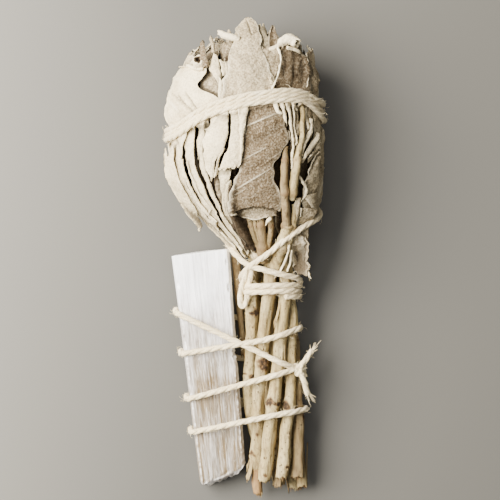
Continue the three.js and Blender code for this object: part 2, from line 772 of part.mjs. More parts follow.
// The taut half of a wrap over the front or under the back of an outline, from left to right.
function tautHalf(outline, front) {
  const sign = front ? 1 : -1;
  const sorted = outline.map(([x, z]) => [x, z * sign]).sort((p, q) => p[0] - q[0] || p[1] - q[1]);
  const hull = [];
  for (const p of sorted) {
    while (hull.length > 1) {
      const [a, b] = [hull[hull.length - 2], hull[hull.length - 1]];
      if ((b[0] - a[0]) * (p[1] - a[1]) - (b[1] - a[1]) * (p[0] - a[0]) < 0) break;
      hull.pop();
    }
    hull.push(p);
  }
  return hull.map(([x, z]) => [x, z * sign]);
}

// Points spaced evenly along a line.
function evenly(points, spacing) {
  const curve = new THREE.CatmullRomCurve3(points, false, "centripetal");
  return curve.getSpacedPoints(Math.max(2, Math.round(curve.getLength() / spacing)));
}

// The same line with its points drawn in no closer than `least` to each other.
function thinned(points, least) {
  const kept = [points[0]];
  for (const p of points) if (p.distanceTo(kept[kept.length - 1]) > least) kept.push(p);
  return kept;
}

const string = (points, spacing) => {
  const path = spacing ? evenly(points, spacing) : thinned(points, 0.9);
  return rod(path, path.map(() => STRING_RADIUS), 6);
};

function tieRoute() {
  const route = [];
  for (const { front, line } of TIE_PASSES) {
    const { outline, yAt } = crossed(line);
    const half = tautHalf(outline, front).map(([x, z]) => new THREE.Vector3(x, yAt(x), z));
    if (line[0][0] > line[line.length - 1][0]) half.reverse();
    route.push(...half);
  }
  return route;
}

// The long string round the bar and the stems, with its knot and two loose ends.
function crystalString() {
  const route = tieRoute();
  const pieces = [string(route)];
  const knot = route.reduce((best, p) => {
    const far = (q) => Math.hypot(q.x - TIE_KNOT[0], q.y - TIE_KNOT[1]) - q.z * 0.05;
    return far(p) < far(best) ? p : best;
  });
  const lump = [-2.4, -1, 1, 2.4].map(
    (d) => new THREE.Vector3(knot.x + d * 0.5, knot.y + d, knot.z + 0.9 - 0.1 * d * d),
  );
  pieces.push(rod(lump, [1.2, 2.1, 2.1, 1.2]));
  for (const tail of TIE_TAILS) {
    const end = tail.map(([x, y, dz]) => new THREE.Vector3(x, y, knot.z + 0.9 + dz));
    pieces.push(string(end, 3));
  }
  return joined(pieces);
}

// The string round the neck and the head, with the loop that hangs from its knot.
function headString() {
  const out = -(STRING_RADIUS + CLEAR);
  const turns = [];
  for (let turn = 0; turn < 3; turn += 1) {
    for (let angle = -180; angle < 180; angle += 10) {
      const split = Math.max(0, Math.min(1, (angle - 25) / 50, (175 - angle) / 60));
      const y = band(angle) + (1 - turn) * (2.1 + 2.4 * split) + angle / 360;
      turns.push(onHead(angle, y, out - COIL_LIFT));
    }
  }
  const pieces = [string(turns, 7)];
  for (const y of NECK_WRAPS) {
    const ring = [];
    for (let angle = 0; angle <= 360; angle += 15) ring.push(onHead(angle, y, out));
    pieces.push(string(ring, 3.4));
  }
  const half = [];
  for (let angle = NECK_HALF_WRAP.from; angle <= NECK_HALF_WRAP.to; angle += 12) {
    half.push(onHead(angle, NECK_HALF_WRAP.y, out));
  }
  pieces.push(string(half, 3.4));
  for (const stretch of NECK_CROSSING) {
    pieces.push(string(stretch.map(([angle, y, lift]) => onHead(angle, y, out - lift)), 6.5));
  }
  const loop = NECK_LOOP.map(([angle, y, lift]) => onHead(angle, y, out - lift));
  pieces.push(string(loop, 3.4));
  return joined(pieces);
}

const root = new THREE.Group();
root.name = "sage_smudge_stick";

// All that lies under the table top, to cut the flat spots that the bundle rests on.
const BELOW = closed(new THREE.BoxGeometry(400, 400, 40).translate(0, 0, -20));

const pieces = [
  ["middle_stem", middleStem(), BARE_SAGE],
  ...Object.keys(STEMS).map((name, i) => [name, leafyStem(name, i + 1), SAGE]),
  ["satin_spar", satinSpar(), SPAR],
  ["head_string", headString(), COTTON],
  ["crystal_string", crystalString(), COTTON],
];
for (const [name, body, look] of pieces) {
  root.add(meshOf(name, largest(body.subtract(BELOW).simplify(0.08)), look));
}

export default root;
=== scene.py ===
"""A sage smudge stick that lies on a pale floor, with a bar of satin spar tied along its stems.

All tables are in millimetres in the frame of the tied bundle: +Y runs from the cut stem ends to the
tip of the leafy head, +Z is up, and BASE_MIDDLE is where the middle of the base lies in it. Plan
tables are read from above, in steps of PLAN_STEP, x to the right and y down the bundle.
"""

from __future__ import annotations

import logging
import math
from dataclasses import dataclass, field
from enum import Enum
from typing import Iterable, Sequence

import bpy
import numpy as np
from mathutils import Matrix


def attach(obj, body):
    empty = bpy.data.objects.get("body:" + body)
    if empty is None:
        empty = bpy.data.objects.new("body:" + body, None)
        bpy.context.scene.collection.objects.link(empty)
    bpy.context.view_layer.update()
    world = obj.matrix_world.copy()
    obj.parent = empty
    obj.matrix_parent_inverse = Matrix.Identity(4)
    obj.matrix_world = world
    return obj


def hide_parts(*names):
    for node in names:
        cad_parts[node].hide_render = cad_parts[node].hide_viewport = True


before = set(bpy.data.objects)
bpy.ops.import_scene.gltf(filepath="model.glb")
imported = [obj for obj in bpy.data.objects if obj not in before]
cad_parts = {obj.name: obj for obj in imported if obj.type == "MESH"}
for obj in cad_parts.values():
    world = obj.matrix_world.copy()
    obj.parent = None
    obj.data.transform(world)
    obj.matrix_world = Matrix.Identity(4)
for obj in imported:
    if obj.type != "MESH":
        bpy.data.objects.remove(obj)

LOG = logging.getLogger("smudge_stick")
BASE_MIDDLE = np.array([0.15, -3.6, 0.0])
PLAN_STEP = 0.425
PLAN_ZERO = (245.0, 250.0)
STRING_RADIUS = 1.15
SPAR_HALF = np.array([11.0, 6.2])
SPAR_LENGTH = 98
VIEW_HEIGHT = 1400.0
VIEW_X = 2.125
TINY = 1e-6
SEEDS = 1 << 30
BEHIND = -99.0
FLOOR_GAP = 0.1

Rows = Sequence[Sequence[float]]


def numbers(table: str) -> Rows:
    """Reads a table of numbers, with a comma after each row."""
    return tuple(tuple(float(part) for part in row.split()) for row in table.split(","))


def plan_x(column: np.ndarray | float) -> np.ndarray | float:
    """Millimetres to the right for a plan column."""
    return (column - PLAN_ZERO[0]) * PLAN_STEP


def plan_y(row: np.ndarray | float) -> np.ndarray | float:
    """Millimetres up the bundle for a plan row."""
    return (PLAN_ZERO[1] - row) * PLAN_STEP


def smooth_table(rows: Rows, at: np.ndarray) -> np.ndarray:
    """Reads a table on smooth lines through its rows.

    Args:
        rows: rows of [at, value, value, ...], with the first entry growing.
        at: where to read it.

    Returns:
        One row of values for each entry of `at`.
    """
    table = np.asarray(rows, float)
    keys, values = table[:, 0], table[:, 1:]
    at = np.clip(np.asarray(at, float), keys[0], keys[-1])
    slopes = np.empty_like(values)
    slopes[1:-1] = (values[2:] - values[:-2]) / (keys[2:] - keys[:-2])[:, None]
    slopes[0] = (values[1] - values[0]) / (keys[1] - keys[0])
    slopes[-1] = (values[-1] - values[-2]) / (keys[-1] - keys[-2])
    low = np.clip(np.searchsorted(keys, at, side="right") - 1, 0, len(keys) - 2)
    span = keys[low + 1] - keys[low]
    t = ((at - keys[low]) / span)[..., None]
    rest = 1 - t
    span = span[..., None]
    return (
        values[low] * (1 + 2 * t) * rest**2
        + values[low + 1] * (3 - 2 * t) * t**2
        + span * (slopes[low] * t * rest**2 - slopes[low + 1] * rest * t**2)
    )


def smooth_line(table: np.ndarray, count: int) -> np.ndarray:
    """Evenly spaced places on the smooth line through the rows of a table, first value to last."""
    share = np.linspace(0, 1, len(table))
    return smooth_table(np.column_stack([share, table]), np.linspace(0, 1, count))


def fresh_seed(draw: np.random.Generator) -> int:
    """The next seed from a draw, for noise of its own."""
    return int(draw.integers(SEEDS))


def unit(ways: np.ndarray) -> np.ndarray:
    """The same directions with length 1."""
    return ways / np.maximum(np.linalg.norm(ways, axis=-1, keepdims=True), TINY)


def ring_points(
    path: np.ndarray, size: np.ndarray, side: np.ndarray, up: np.ndarray, turn: np.ndarray
) -> np.ndarray:
    """A ring of points round each point of a path, from one value of `size` for each ring or point."""
    round_way = side[:, None] * np.sin(turn)[..., None] + up[:, None] * np.cos(turn)[..., None]
    return path[:, None] + size * round_way


def looks_inwards(points: np.ndarray, outward: np.ndarray) -> bool:
    """Whether a grid of points would face the wrong way as a sheet."""
    facing = np.cross(np.gradient(points, axis=1), np.gradient(points, axis=0))
    return bool((facing * outward).sum() < 0)


class Ripple:
    """Smooth noise: a sum of waves that run in random directions."""

    def __init__(self, seed: int, wavelength: float, waves: int = 7, dims: int = 3) -> None:
        """Draws the waves.

        Args:
            seed: what the random draw starts from.
            wavelength: the middle wavelength, in millimetres.
            waves: how many waves are summed.
            dims: how many coordinates a point has.
        """
        draw = np.random.default_rng(seed)
        ways = draw.normal(size=(waves, dims))
        ways /= np.linalg.norm(ways, axis=1, keepdims=True)
        lengths = wavelength * draw.uniform(0.6, 1.6, size=(waves, 1))
        self.ways = ways * 2 * math.pi / lengths
        self.phases = draw.uniform(0, 2 * math.pi, waves)
        self.scale = 1 / math.sqrt(waves / 2)

    def __call__(self, points: np.ndarray) -> np.ndarray:
        """The noise at each point, about -1.5 to 1.5."""
        return np.sin(points @ self.ways.T + self.phases).sum(-1) * self.scale


@dataclass(frozen=True)
class Skin:
    """The smooth oval form that the leafy head is packed into.

    Attributes:
        rows: [y, middle x, middle z, half width, half height] of the section at each height.
        band: [angle, y] of the string round the head; angles are degrees from straight up.
        sole: how far under the highest leaves the table flattens the underside.
        tunnel: how far the underside is raised where the string runs through.
    """

    rows: tuple[tuple[float, ...], ...] = numbers(
        "-24.0 10.9 19.0 10.9 9.4, -16.0 10.8 20.0 10.9 9.4, -8.0 10.8 20.9 11.4 10.0, "
        "0.0 10.4 21.8 14.2 13.0, 8.0 7.6 22.8 19.6 16.8, 17.0 3.9 24.0 26.3 21.6, "
        "27.0 0.9 25.0 31.2 25.2, 40.0 0.2 26.0 33.2 26.8, 51.0 0.2 26.1 33.2 27.0, "
        "60.0 -0.1 26.1 32.8 26.8, 68.0 0.1 26.1 31.6 25.8, 76.0 1.0 26.1 29.4 24.0, "
        "82.0 2.6 26.1 27.0 21.8, 88.0 4.8 26.1 22.6 18.6, 94.0 6.0 26.1 15.5 13.0, "
        "100.0 6.5 26.1 10.0 9.0"
    )
    band: tuple[tuple[float, float], ...] = numbers(
        "-180.0 55.0, -135.0 51.0, -85.0 48.0, -54.0 50.0, -26.0 57.0, -2.0 61.0, 16.0 62.6, 34.0 63.4, "
        "50.0 62.4, 64.0 59.6, 80.0 57.2, 128.0 57.0, 180.0 55.0"
    )
    sole: float = 1.2
    tunnel: float = 3.6

    def section(self, y: np.ndarray) -> tuple[np.ndarray, ...]:
        """Middle x, middle z, half width and half height at each height."""
        read = smooth_table(self.rows, y)
        return read[..., 0], read[..., 1], read[..., 2], read[..., 3]

    def band_height(self, angle: np.ndarray) -> np.ndarray:
        """The height of the head string at each angle."""
        return smooth_table(self.band, (np.asarray(angle) + 180) % 360 - 180)[..., 0]

    def pressed(self, angle: np.ndarray, y: np.ndarray, height: np.ndarray) -> np.ndarray:
        """Heights after the string has bitten into the leaves."""
        off = (y - self.band_height(angle)) / 5.0
        bite = 0.2 * np.exp(-(off**2))
        return -9.0 + (height + 9.0) * (1 - bite)

    def point(self, angle: np.ndarray, y: np.ndarray, height: np.ndarray) -> np.ndarray:
        """Places in space.

        Args:
            angle: degrees round the bundle from straight up, towards +X.
            y: height along the bundle.
            height: how far off the skin, negative inwards.

        Returns:
            An array of points, one for each entry.
        """
        x, z, a, b = self.section(y)
        turn = np.radians(angle)
        height = self.pressed(angle, y, height)
        px = x + (a + height) * np.sin(turn)
        pz = z + (b + height) * np.cos(turn)
        off = (y - self.band_height(angle)) / 9.0
        floor = 0.12 + np.clip(self.sole - height, 0, 30) * 0.85 + self.tunnel * np.exp(-(off**2))
        under = np.clip(-np.cos(turn) * 1.6, 0, 1) * (y > 14)
        pz = np.where(under > 0, np.maximum(pz, floor * under), pz)
        return np.stack([px, y + 0 * px, pz], -1)

    def below(self, column: np.ndarray, row: np.ndarray, limit: float) -> tuple[np.ndarray, ...]:
        """Finds what lies under plan places, as they are seen from VIEW_HEIGHT.

        Args:
            column: plan columns.
            row: plan rows.
            limit: the steepest angle to give.

        Returns:
            Angles, heights along the bundle, and how far off the skin the places lie.
        """
        x, y = flat_x, flat_y = plan_x(column), plan_y(row)
        for _ in range(4):
            middle, _, a, _ = self.section(y)
            sine = np.clip((x - middle) / a, -math.sin(math.radians(limit)), math.sin(math.radians(limit)))
            turn = np.arcsin(sine)
            extra = np.clip(np.abs(x - middle) / np.maximum(np.abs(np.sin(turn)), 1e-3) - a, 0, None)
            extra = np.where(np.abs(sine) > math.sin(math.radians(limit)) - 1e-6, extra, 0)
            z = self.point(np.degrees(turn), y, extra)[..., 2]
            near = 1 - z / VIEW_HEIGHT
            x = VIEW_X + (flat_x - VIEW_X) * near
            y = flat_y * near
        return np.degrees(turn), y, extra


class Drape:
    """Heights of what has been laid on the skin so far, on a grid of angle and height."""

    ANGLE_STEP = 0.75
    Y_STEP = 0.5
    Y_LOW = -24.0

    def __init__(self, skin: Skin, core: float) -> None:
        """Starts with a bare core.

        Args:
            skin: the form that everything is laid on.
            core: the core's height off the skin, negative.
        """
        self.skin = skin
        self.heights = np.full((int(360 / self.ANGLE_STEP), 256), core)

    def _cells(self, angle: np.ndarray, y: np.ndarray) -> tuple[np.ndarray, np.ndarray]:
        """Grid places, as fractions, of angles and heights."""
        rows = (np.asarray(angle) % 360) / self.ANGLE_STEP
        columns = np.clip((np.asarray(y) - self.Y_LOW) / self.Y_STEP, 0, self.heights.shape[1] - 1.001)
        return rows, columns

    def under(self, angle: np.ndarray, y: np.ndarray, reach: int = 1) -> np.ndarray:
        """The highest thing within a few cells of each place."""
        rows, columns = self._cells(angle, y)
        r, c = np.rint(rows).astype(int), np.rint(columns).astype(int)
        best = np.full(np.shape(angle), BEHIND)
        count, last = self.heights.shape
        for dr in range(-reach, reach + 1):
            for dc in range(-reach, reach + 1):
                best = np.maximum(best, self.heights[(r + dr) % count, np.clip(c + dc, 0, last - 1)])
        return best

    def mark(self, angle: np.ndarray, y: np.ndarray, height: np.ndarray) -> None:
        """Raises the grid to a laid sheet of points, given as 2-D arrays."""
        finer = []
        for grid in (angle, y, height):
            for axis in (0, 1):
                count = grid.shape[axis]
                at = np.linspace(0, count - 1, (count - 1) * 3 + 1)
                low = np.minimum(at.astype(int), count - 2)
                part = at - low
                part = part[:, None] if axis == 0 else part[None, :]
                first, second = np.take(grid, low, axis), np.take(grid, low + 1, axis)
                grid = first * (1 - part) + second * part
            finer.append(grid)
        rows, columns = self._cells(finer[0], finer[1])
        r = np.rint(rows).astype(int) % self.heights.shape[0]
        c = np.rint(columns).astype(int)
        np.maximum.at(self.heights, (r.ravel(), c.ravel()), finer[2].ravel())

    def settle(
        self, angle: np.ndarray, y: np.ndarray, wish: np.ndarray, gap: float = 0.3, passes: int = 14
    ) -> np.ndarray:
        """Lays a sheet over what is there.

        Args:
            angle: 2-D grid of angles.
            y: 2-D grid of heights along the bundle.
            wish: the height that each point would like.
            gap: the least room under the sheet.
            passes: how often it is drawn smooth.

        Returns:
            The heights that the sheet takes, drawn smooth over what holds it up.
        """
        need = self.under(angle, y) + gap
        height = np.maximum(wish, need)
        for _ in range(passes):
            padded = np.pad(height, 1, mode="edge")
            mean = (padded[:-2, 1:-1] + padded[2:, 1:-1] + padded[1:-1, :-2] + padded[1:-1, 2:]) / 4
            height = np.maximum(need, 0.3 * height + 0.6 * mean + 0.1 * wish)
        return height


class Shape:
    """Gathers the faces and point values of one mesh."""

    def __init__(self) -> None:
        """Starts empty."""
        self.points: list[np.ndarray] = []
        self.faces: list[np.ndarray] = []
        self.values: dict[str, list[np.ndarray]] = {}
        self.count = 0

    def add(self, points: np.ndarray, faces: np.ndarray, **values: np.ndarray) -> None:
        """Adds points in millimetres, quads or triangles that count from 0, and point values."""
        points = points.reshape(-1, 3)
        self.points.append(points)
        for part in np.split(faces, np.arange(60000, len(faces), 60000)):
            self.faces.append(part + self.count)
        for name, value in values.items():
            self.values.setdefault(name, []).append(np.broadcast_to(value, len(points)).ravel())
        self.count += len(points)

    def sheet(self, top: np.ndarray, thickness: float, **values: np.ndarray) -> None:
        """Adds a grid of points as a thin closed sheet.

        Args:
            top: grid of points, rows along the sheet, with the outside facing up.
            thickness: how thick the sheet is, inwards from `top`.
            values: values for the grid's points.
        """
        rows, columns = top.shape[:2]
        along = np.gradient(top, axis=0)
        across = np.gradient(top, axis=1)
        normal = np.cross(across, along)
        normal /= np.maximum(np.linalg.norm(normal, axis=-1, keepdims=True), 1e-9)
        bottom = top - normal * thickness
        at = np.arange(rows * columns).reshape(rows, columns)
        a, b, c, d = at[:-1, :-1], at[:-1, 1:], at[1:, 1:], at[1:, :-1]
        upper = np.stack([a, b, c, d], -1).reshape(-1, 4)
        under = upper[:, ::-1] + rows * columns
        rim = np.concatenate([at[0, :-1], at[:-1, -1], at[-1, :0:-1], at[:0:-1, 0]])
        after = np.roll(rim, -1)
        lower = rows * columns
        walls = np.stack([after, rim, rim + lower, after + lower], -1)
        twice = {}
        for name, value in values.items():
            twice[name] = np.tile(np.broadcast_to(value, (rows, columns)).ravel(), 2)
        self.add(
            np.concatenate([top.reshape(-1, 3), bottom.reshape(-1, 3)]),
            np.concatenate([upper, under, walls]), **twice,
        )

    def tube(self, rings: np.ndarray, **values: np.ndarray) -> None:
        """Adds rings of points as a closed tube with capped ends.

        Args:
            rings: array of rings, each a closed loop of points.
            values: values for the rings' points.
        """
        count, sides = rings.shape[:2]
        at = np.arange(count * sides).reshape(count, sides)
        turned = np.roll(at, -1, axis=1)
        quads = np.stack([at[:-1], turned[:-1], turned[1:], at[1:]], -1).reshape(-1, 4)
        middle = np.stack([rings[0].mean(0), rings[-1].mean(0)])
        low, high = count * sides, count * sides + 1
        caps = [np.stack([turned[0], at[0], np.full(sides, low), np.full(sides, low)], -1)]
        caps.append(np.stack([at[-1], turned[-1], np.full(sides, high), np.full(sides, high)], -1))
        grown = {}
        for name, value in values.items():
            grid = np.broadcast_to(value, (count, sides))
            grown[name] = np.concatenate([grid.ravel(), [grid[0].mean(), grid[-1].mean()]])
        self.add(np.concatenate([rings.reshape(-1, 3), middle]), np.concatenate([quads, *caps]), **grown)

    def build(self, name: str) -> bpy.types.Object:
        """Makes the mesh object, in metres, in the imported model's frame."""
        points = (np.concatenate(self.points) - BASE_MIDDLE) / 1000.0
        faces = [[v for i, v in enumerate(f) if v not in f[:i]] for f in np.concatenate(self.faces).tolist()]
        mesh = bpy.data.meshes.new(name)
        mesh.from_pydata(points.tolist(), [], faces)
        mesh.polygons.foreach_set("use_smooth", np.ones(len(faces), bool))
        for key, parts in self.values.items():
            layer = mesh.attributes.new(key, "FLOAT", "POINT")
            layer.data.foreach_set("value", np.concatenate(parts).astype(np.float32))
        mesh.validate()
        mesh.update()
        made = bpy.data.objects.new(name, mesh)
        bpy.context.scene.collection.objects.link(made)
        return made


class Value:
    """A socket that takes part in sums written as Python."""

    def __init__(self, nodes: "Nodes", socket: bpy.types.NodeSocket) -> None:
        """Wraps one output socket of a tree."""
        self.nodes = nodes
        self.socket = socket

    def _math(self, operation: str, *terms: "Value | float") -> "Value":
        """Adds a Math node over the terms."""
        made = self.nodes.add(self.nodes.maths, {"operation": operation}, dict(enumerate(terms)))
        return Value(self.nodes, made.outputs[0])

    def __add__(self, other: "Value | float") -> "Value":
        """Sum."""
        return self._math("ADD", self, other)

    def __radd__(self, other: float) -> "Value":
        """Sum with a number first."""
        return self._math("ADD", other, self)

    def __sub__(self, other: "Value | float") -> "Value":
        """Difference."""
        return self._math("SUBTRACT", self, other)

    def __rsub__(self, other: float) -> "Value":
        """Difference from a number."""
        return self._math("SUBTRACT", other, self)

    def __mul__(self, other: "Value | float") -> "Value":
        """Product."""
        return self._math("MULTIPLY", self, other)

    def __rmul__(self, other: float) -> "Value":
        """Product with a number first."""
        return self._math("MULTIPLY", other, self)

    def __truediv__(self, other: "Value | float") -> "Value":
        """Quotient."""
        return self._math("DIVIDE", self, other)

    def sine(self) -> "Value":
        """Sine."""
        return self._math("SINE", self)

    def cosine(self) -> "Value":
        """Cosine."""
        return self._math("COSINE", self)

    def size(self) -> "Value":
        """Size without its sign."""
        return self._math("ABSOLUTE", self)

    def step(self, low: float, high: float) -> "Value":
        """Goes from 0 to 1 between two values, clamped."""
        made = self.nodes.add(
            "ShaderNodeMapRange", {"clamp": True}, {"Value": self, "From Min": low, "From Max": high}
        )
        return Value(self.nodes, made.outputs[0])


class Nodes:
    """Adds nodes to one shader or geometry tree."""

    maths = "ShaderNodeMath"

    def __init__(self, tree: bpy.types.NodeTree) -> None:
        """Takes the tree that the nodes go into."""
        self.tree = tree

    def add(self, kind: str, settings: dict | None = None, inputs: dict | None = None) -> bpy.types.Node:
        """Adds one node.

        Args:
            kind: the node's type.
            settings: its own settings.
            inputs: a value, or a socket to link, for each input by name or number.

        Returns:
            The node.
        """
        made = self.tree.nodes.new(kind)
        for name, value in (settings or {}).items():
            setattr(made, name, value)
        for key, value in (inputs or {}).items():
            if isinstance(value, Value):
                value = value.socket
            if isinstance(value, bpy.types.NodeSocket):
                self.tree.links.new(value, made.inputs[key])
            else:
                made.inputs[key].default_value = value
        return made

    def link(self, source: "Value | bpy.types.NodeSocket", target: bpy.types.NodeSocket) -> None:
        """Links two sockets."""
        self.tree.links.new(source.socket if isinstance(source, Value) else source, target)


class Paint(Nodes):
    """A shader tree, with the few patterns that the finishes here are mixed from."""

    def __init__(self, name: str) -> None:
        """Starts an empty material."""
        self.material = bpy.data.materials.new(name)
        self.material.use_nodes = True
        super().__init__(self.material.node_tree)
        self.tree.nodes.clear()
        self.place = self.add("ShaderNodeTexCoord").outputs["Object"]

    def value(self, name: str) -> Value:
        """A point value that the mesh carries."""
        made = self.add("ShaderNodeAttribute", {"attribute_name": name})
        return Value(self, made.outputs["Fac"])

    def stretched(self, x: float, y: float, z: float) -> bpy.types.NodeSocket:
        """Object coordinates, stretched along the axes."""
        made = self.add("ShaderNodeVectorMath", {"operation": "MULTIPLY"}, {0: self.place, 1: (x, y, z)})
        return made.outputs[0]

    def noise(self, size: float, detail: float = 3.0, rough: float = 0.55, at: object = None) -> Value:
        """Noise with features of a size in millimetres."""
        made = self.add(
            "ShaderNodeTexNoise",
            None,
            {"Vector": at or self.place, "Scale": 1000 / size, "Detail": detail, "Roughness": rough},
        )
        return Value(self, made.outputs["Fac"])

    def grains(self, size: float, at: object = None) -> Value:
        """Distance to the nearest of many scattered grains, 0 at their middles."""
        made = self.add("ShaderNodeTexVoronoi", None, {"Vector": at or self.place, "Scale": 1000 / size})
        return Value(self, made.outputs["Distance"])

    def mix(self, factor: Value | float, first: object, second: object) -> bpy.types.NodeSocket:
        """A colour between two colours."""
        colours = {6: first, 7: second}
        for key, colour in colours.items():
            if isinstance(colour, tuple):
                colours[key] = (*colour, 1.0)
        made = self.add("ShaderNodeMix", {"data_type": "RGBA"}, {0: factor, **colours})
        return made.outputs[2]

    def finish(
        self,
        colour: object,
        roughness: Value | float,
        relief: Iterable[tuple[Value, float]] = (),
        **constants: float,
    ) -> bpy.types.Material:
        """Joins it all into one surface.

        Args:
            colour: base colour, a socket.
            roughness: how dull it is.
            relief: pairs of a height pattern and its depth in millimetres.
            constants: fixed values of the shader's other inputs, with _ for a space.

        Returns:
            The finished material.
        """
        fixed = {key.replace("_", " "): value for key, value in constants.items()}
        shader = self.add(
            "ShaderNodeBsdfPrincipled", None, {"Base Color": colour, "Roughness": roughness, **fixed},
        )
        normal = None
        for height, depth in relief:
            inputs = {"Strength": 1.0, "Distance": depth / 1000, "Height": height}
            if normal is not None:
                inputs["Normal"] = normal
            normal = self.add("ShaderNodeBump", None, inputs).outputs[0]
        if normal is not None:
            self.link(normal, shader.inputs["Normal"])
        output = self.add("ShaderNodeOutputMaterial")
        self.link(shader.outputs[0], output.inputs["Surface"])
        return self.material


Colour = tuple[float, float, float]


@dataclass(frozen=True)
class LeafFinish:
    """Dry sage leaf: pale, velvety and finely grained, with near-black painted shade inside the bundle and
    painted highlights on its margins and ridges.
    """

    pale: Colour = (0.78, 0.66, 0.42)
    dusk: Colour = (0.40, 0.31, 0.17)
    taupe: Colour = (0.162, 0.116, 0.066)
    shade: Colour = (0.065, 0.043, 0.022)
    # Near-black brown: the colour of the darkest leaves and the painted shade in the gaps and hollows.
    brown: Colour = (0.026, 0.016, 0.008)
    pale_grain_and_highlight: Colour = (0.92, 0.83, 0.60)

    def build(self) -> bpy.types.Material:
        """Mixes the material.

        Returns:
            The leaf material.
        """
        paint = Paint("dry_sage_leaf")
        tone, line, across, deep = (paint.value(name) for name in ("tone", "line", "across", "deep"))
        patches, felt = paint.noise(9.0, 4.0, 0.6), paint.noise(2.8, 3.0, 0.6)
        base = paint.mix(patches.step(0.40, 0.70) * 0.6, self.pale, self.dusk)
        base = paint.mix(tone.step(0.0, 0.5), base, self.taupe)
        down, grains = paint.noise(0.8, 2.0, 0.75), paint.grains(1.1)
        dark = down.step(0.5, 0.62) * 0.62 + (1 - grains.step(0.12, 0.34)) * felt.step(0.36, 0.56) * 0.45
        base = paint.mix((1 - down.step(0.34, 0.50)) * 0.22, base, self.pale_grain_and_highlight)
        base = paint.mix(dark * (0.38 + tone.step(0.0, 0.4) * 0.5), base, self.shade)
        # Painted highlights: paler leaf margins, and paler raised creases and ridges by the line value.
        painted_rim_highlight = across.size().step(0.86, 1.0) * patches.step(0.3, 0.6)
        base = paint.mix(painted_rim_highlight * 0.55 + line.step(0.15, 0.9) * 0.6, base, self.pale_grain_and_highlight)
        # Darker towards brown by tone; on the inner leaves, set near 1, this is painted shade for the gaps.
        base = paint.mix(tone.step(0.42, 0.95) * (0.75 + patches * 0.4), base, self.brown)
        # Painted shade: near-black brown where a leaf lies low beside or under others, in creases that go in,
        # inside rolls and down the tips.
        base = paint.mix(deep.step(0.0, 1.0) * 0.85, base, self.brown)
        relief = [(down, 0.28), (grains, 0.14), (felt, 0.5), (patches, 0.5)]
        return paint.finish(base, 0.86 + down * 0.1, relief, Specular_IOR_Level=0.15)


@dataclass(frozen=True)
class StemFinish:
    """Bare sage stem: straw-coloured bark with fine grooves, dark specks, scars and cut pith."""

    straw: Colour = (0.39, 0.295, 0.128)
    ash: Colour = (0.50, 0.41, 0.215)
    bark: Colour = (0.13, 0.082, 0.038)
    scab: Colour = (0.115, 0.056, 0.021)
    dark: Colour = (0.030, 0.018, 0.009)
    pith: Colour = (0.27, 0.135, 0.048)

    def build(self) -> bpy.types.Material:
        """Mixes the material.

        Returns:
            The stem material.
        """
        paint = Paint("sage_stem_bark")
        tone, scar, cut = paint.value("tone"), paint.value("scar"), paint.value("cut")
        fibres = paint.noise(1.3, 5.0, 0.75, paint.stretched(1.0, 0.10, 1.0))
        grit = paint.noise(1.2, 3.0, 0.7, paint.stretched(1.0, 0.5, 1.0))
        patches = paint.noise(7.0, 4.0, 0.6, paint.stretched(1.0, 0.45, 1.0))
        base = paint.mix(patches.step(0.38, 0.64), self.straw, self.ash)
        base = paint.mix(fibres.step(0.46, 0.64) * 0.62, base, self.bark)
        base = paint.mix(grit.step(0.50, 0.62) * 0.5, base, self.bark)
        base = paint.mix(tone.step(0.0, 1.0) * (0.55 + fibres * 0.7), base, self.bark)
        specks = (1 - paint.grains(2.1).step(0.10, 0.20)) * patches.step(0.42, 0.55)
        base = paint.mix(specks * 0.85, base, self.dark)
        base = paint.mix(scar.step(0.05, 0.45) * 0.9, base, self.scab)
        base = paint.mix(scar.step(0.2, 0.6) * grit.step(0.38, 0.50), base, self.dark)
        base = paint.mix(cut.step(0.2, 0.9) * 0.85, base, self.pith)
        return paint.finish(
            base, 0.72 + fibres * 0.2, [(fibres, 0.45), (grit, 0.25), (patches, 0.3), (specks, 0.2)],
            Specular_IOR_Level=0.25,
        )


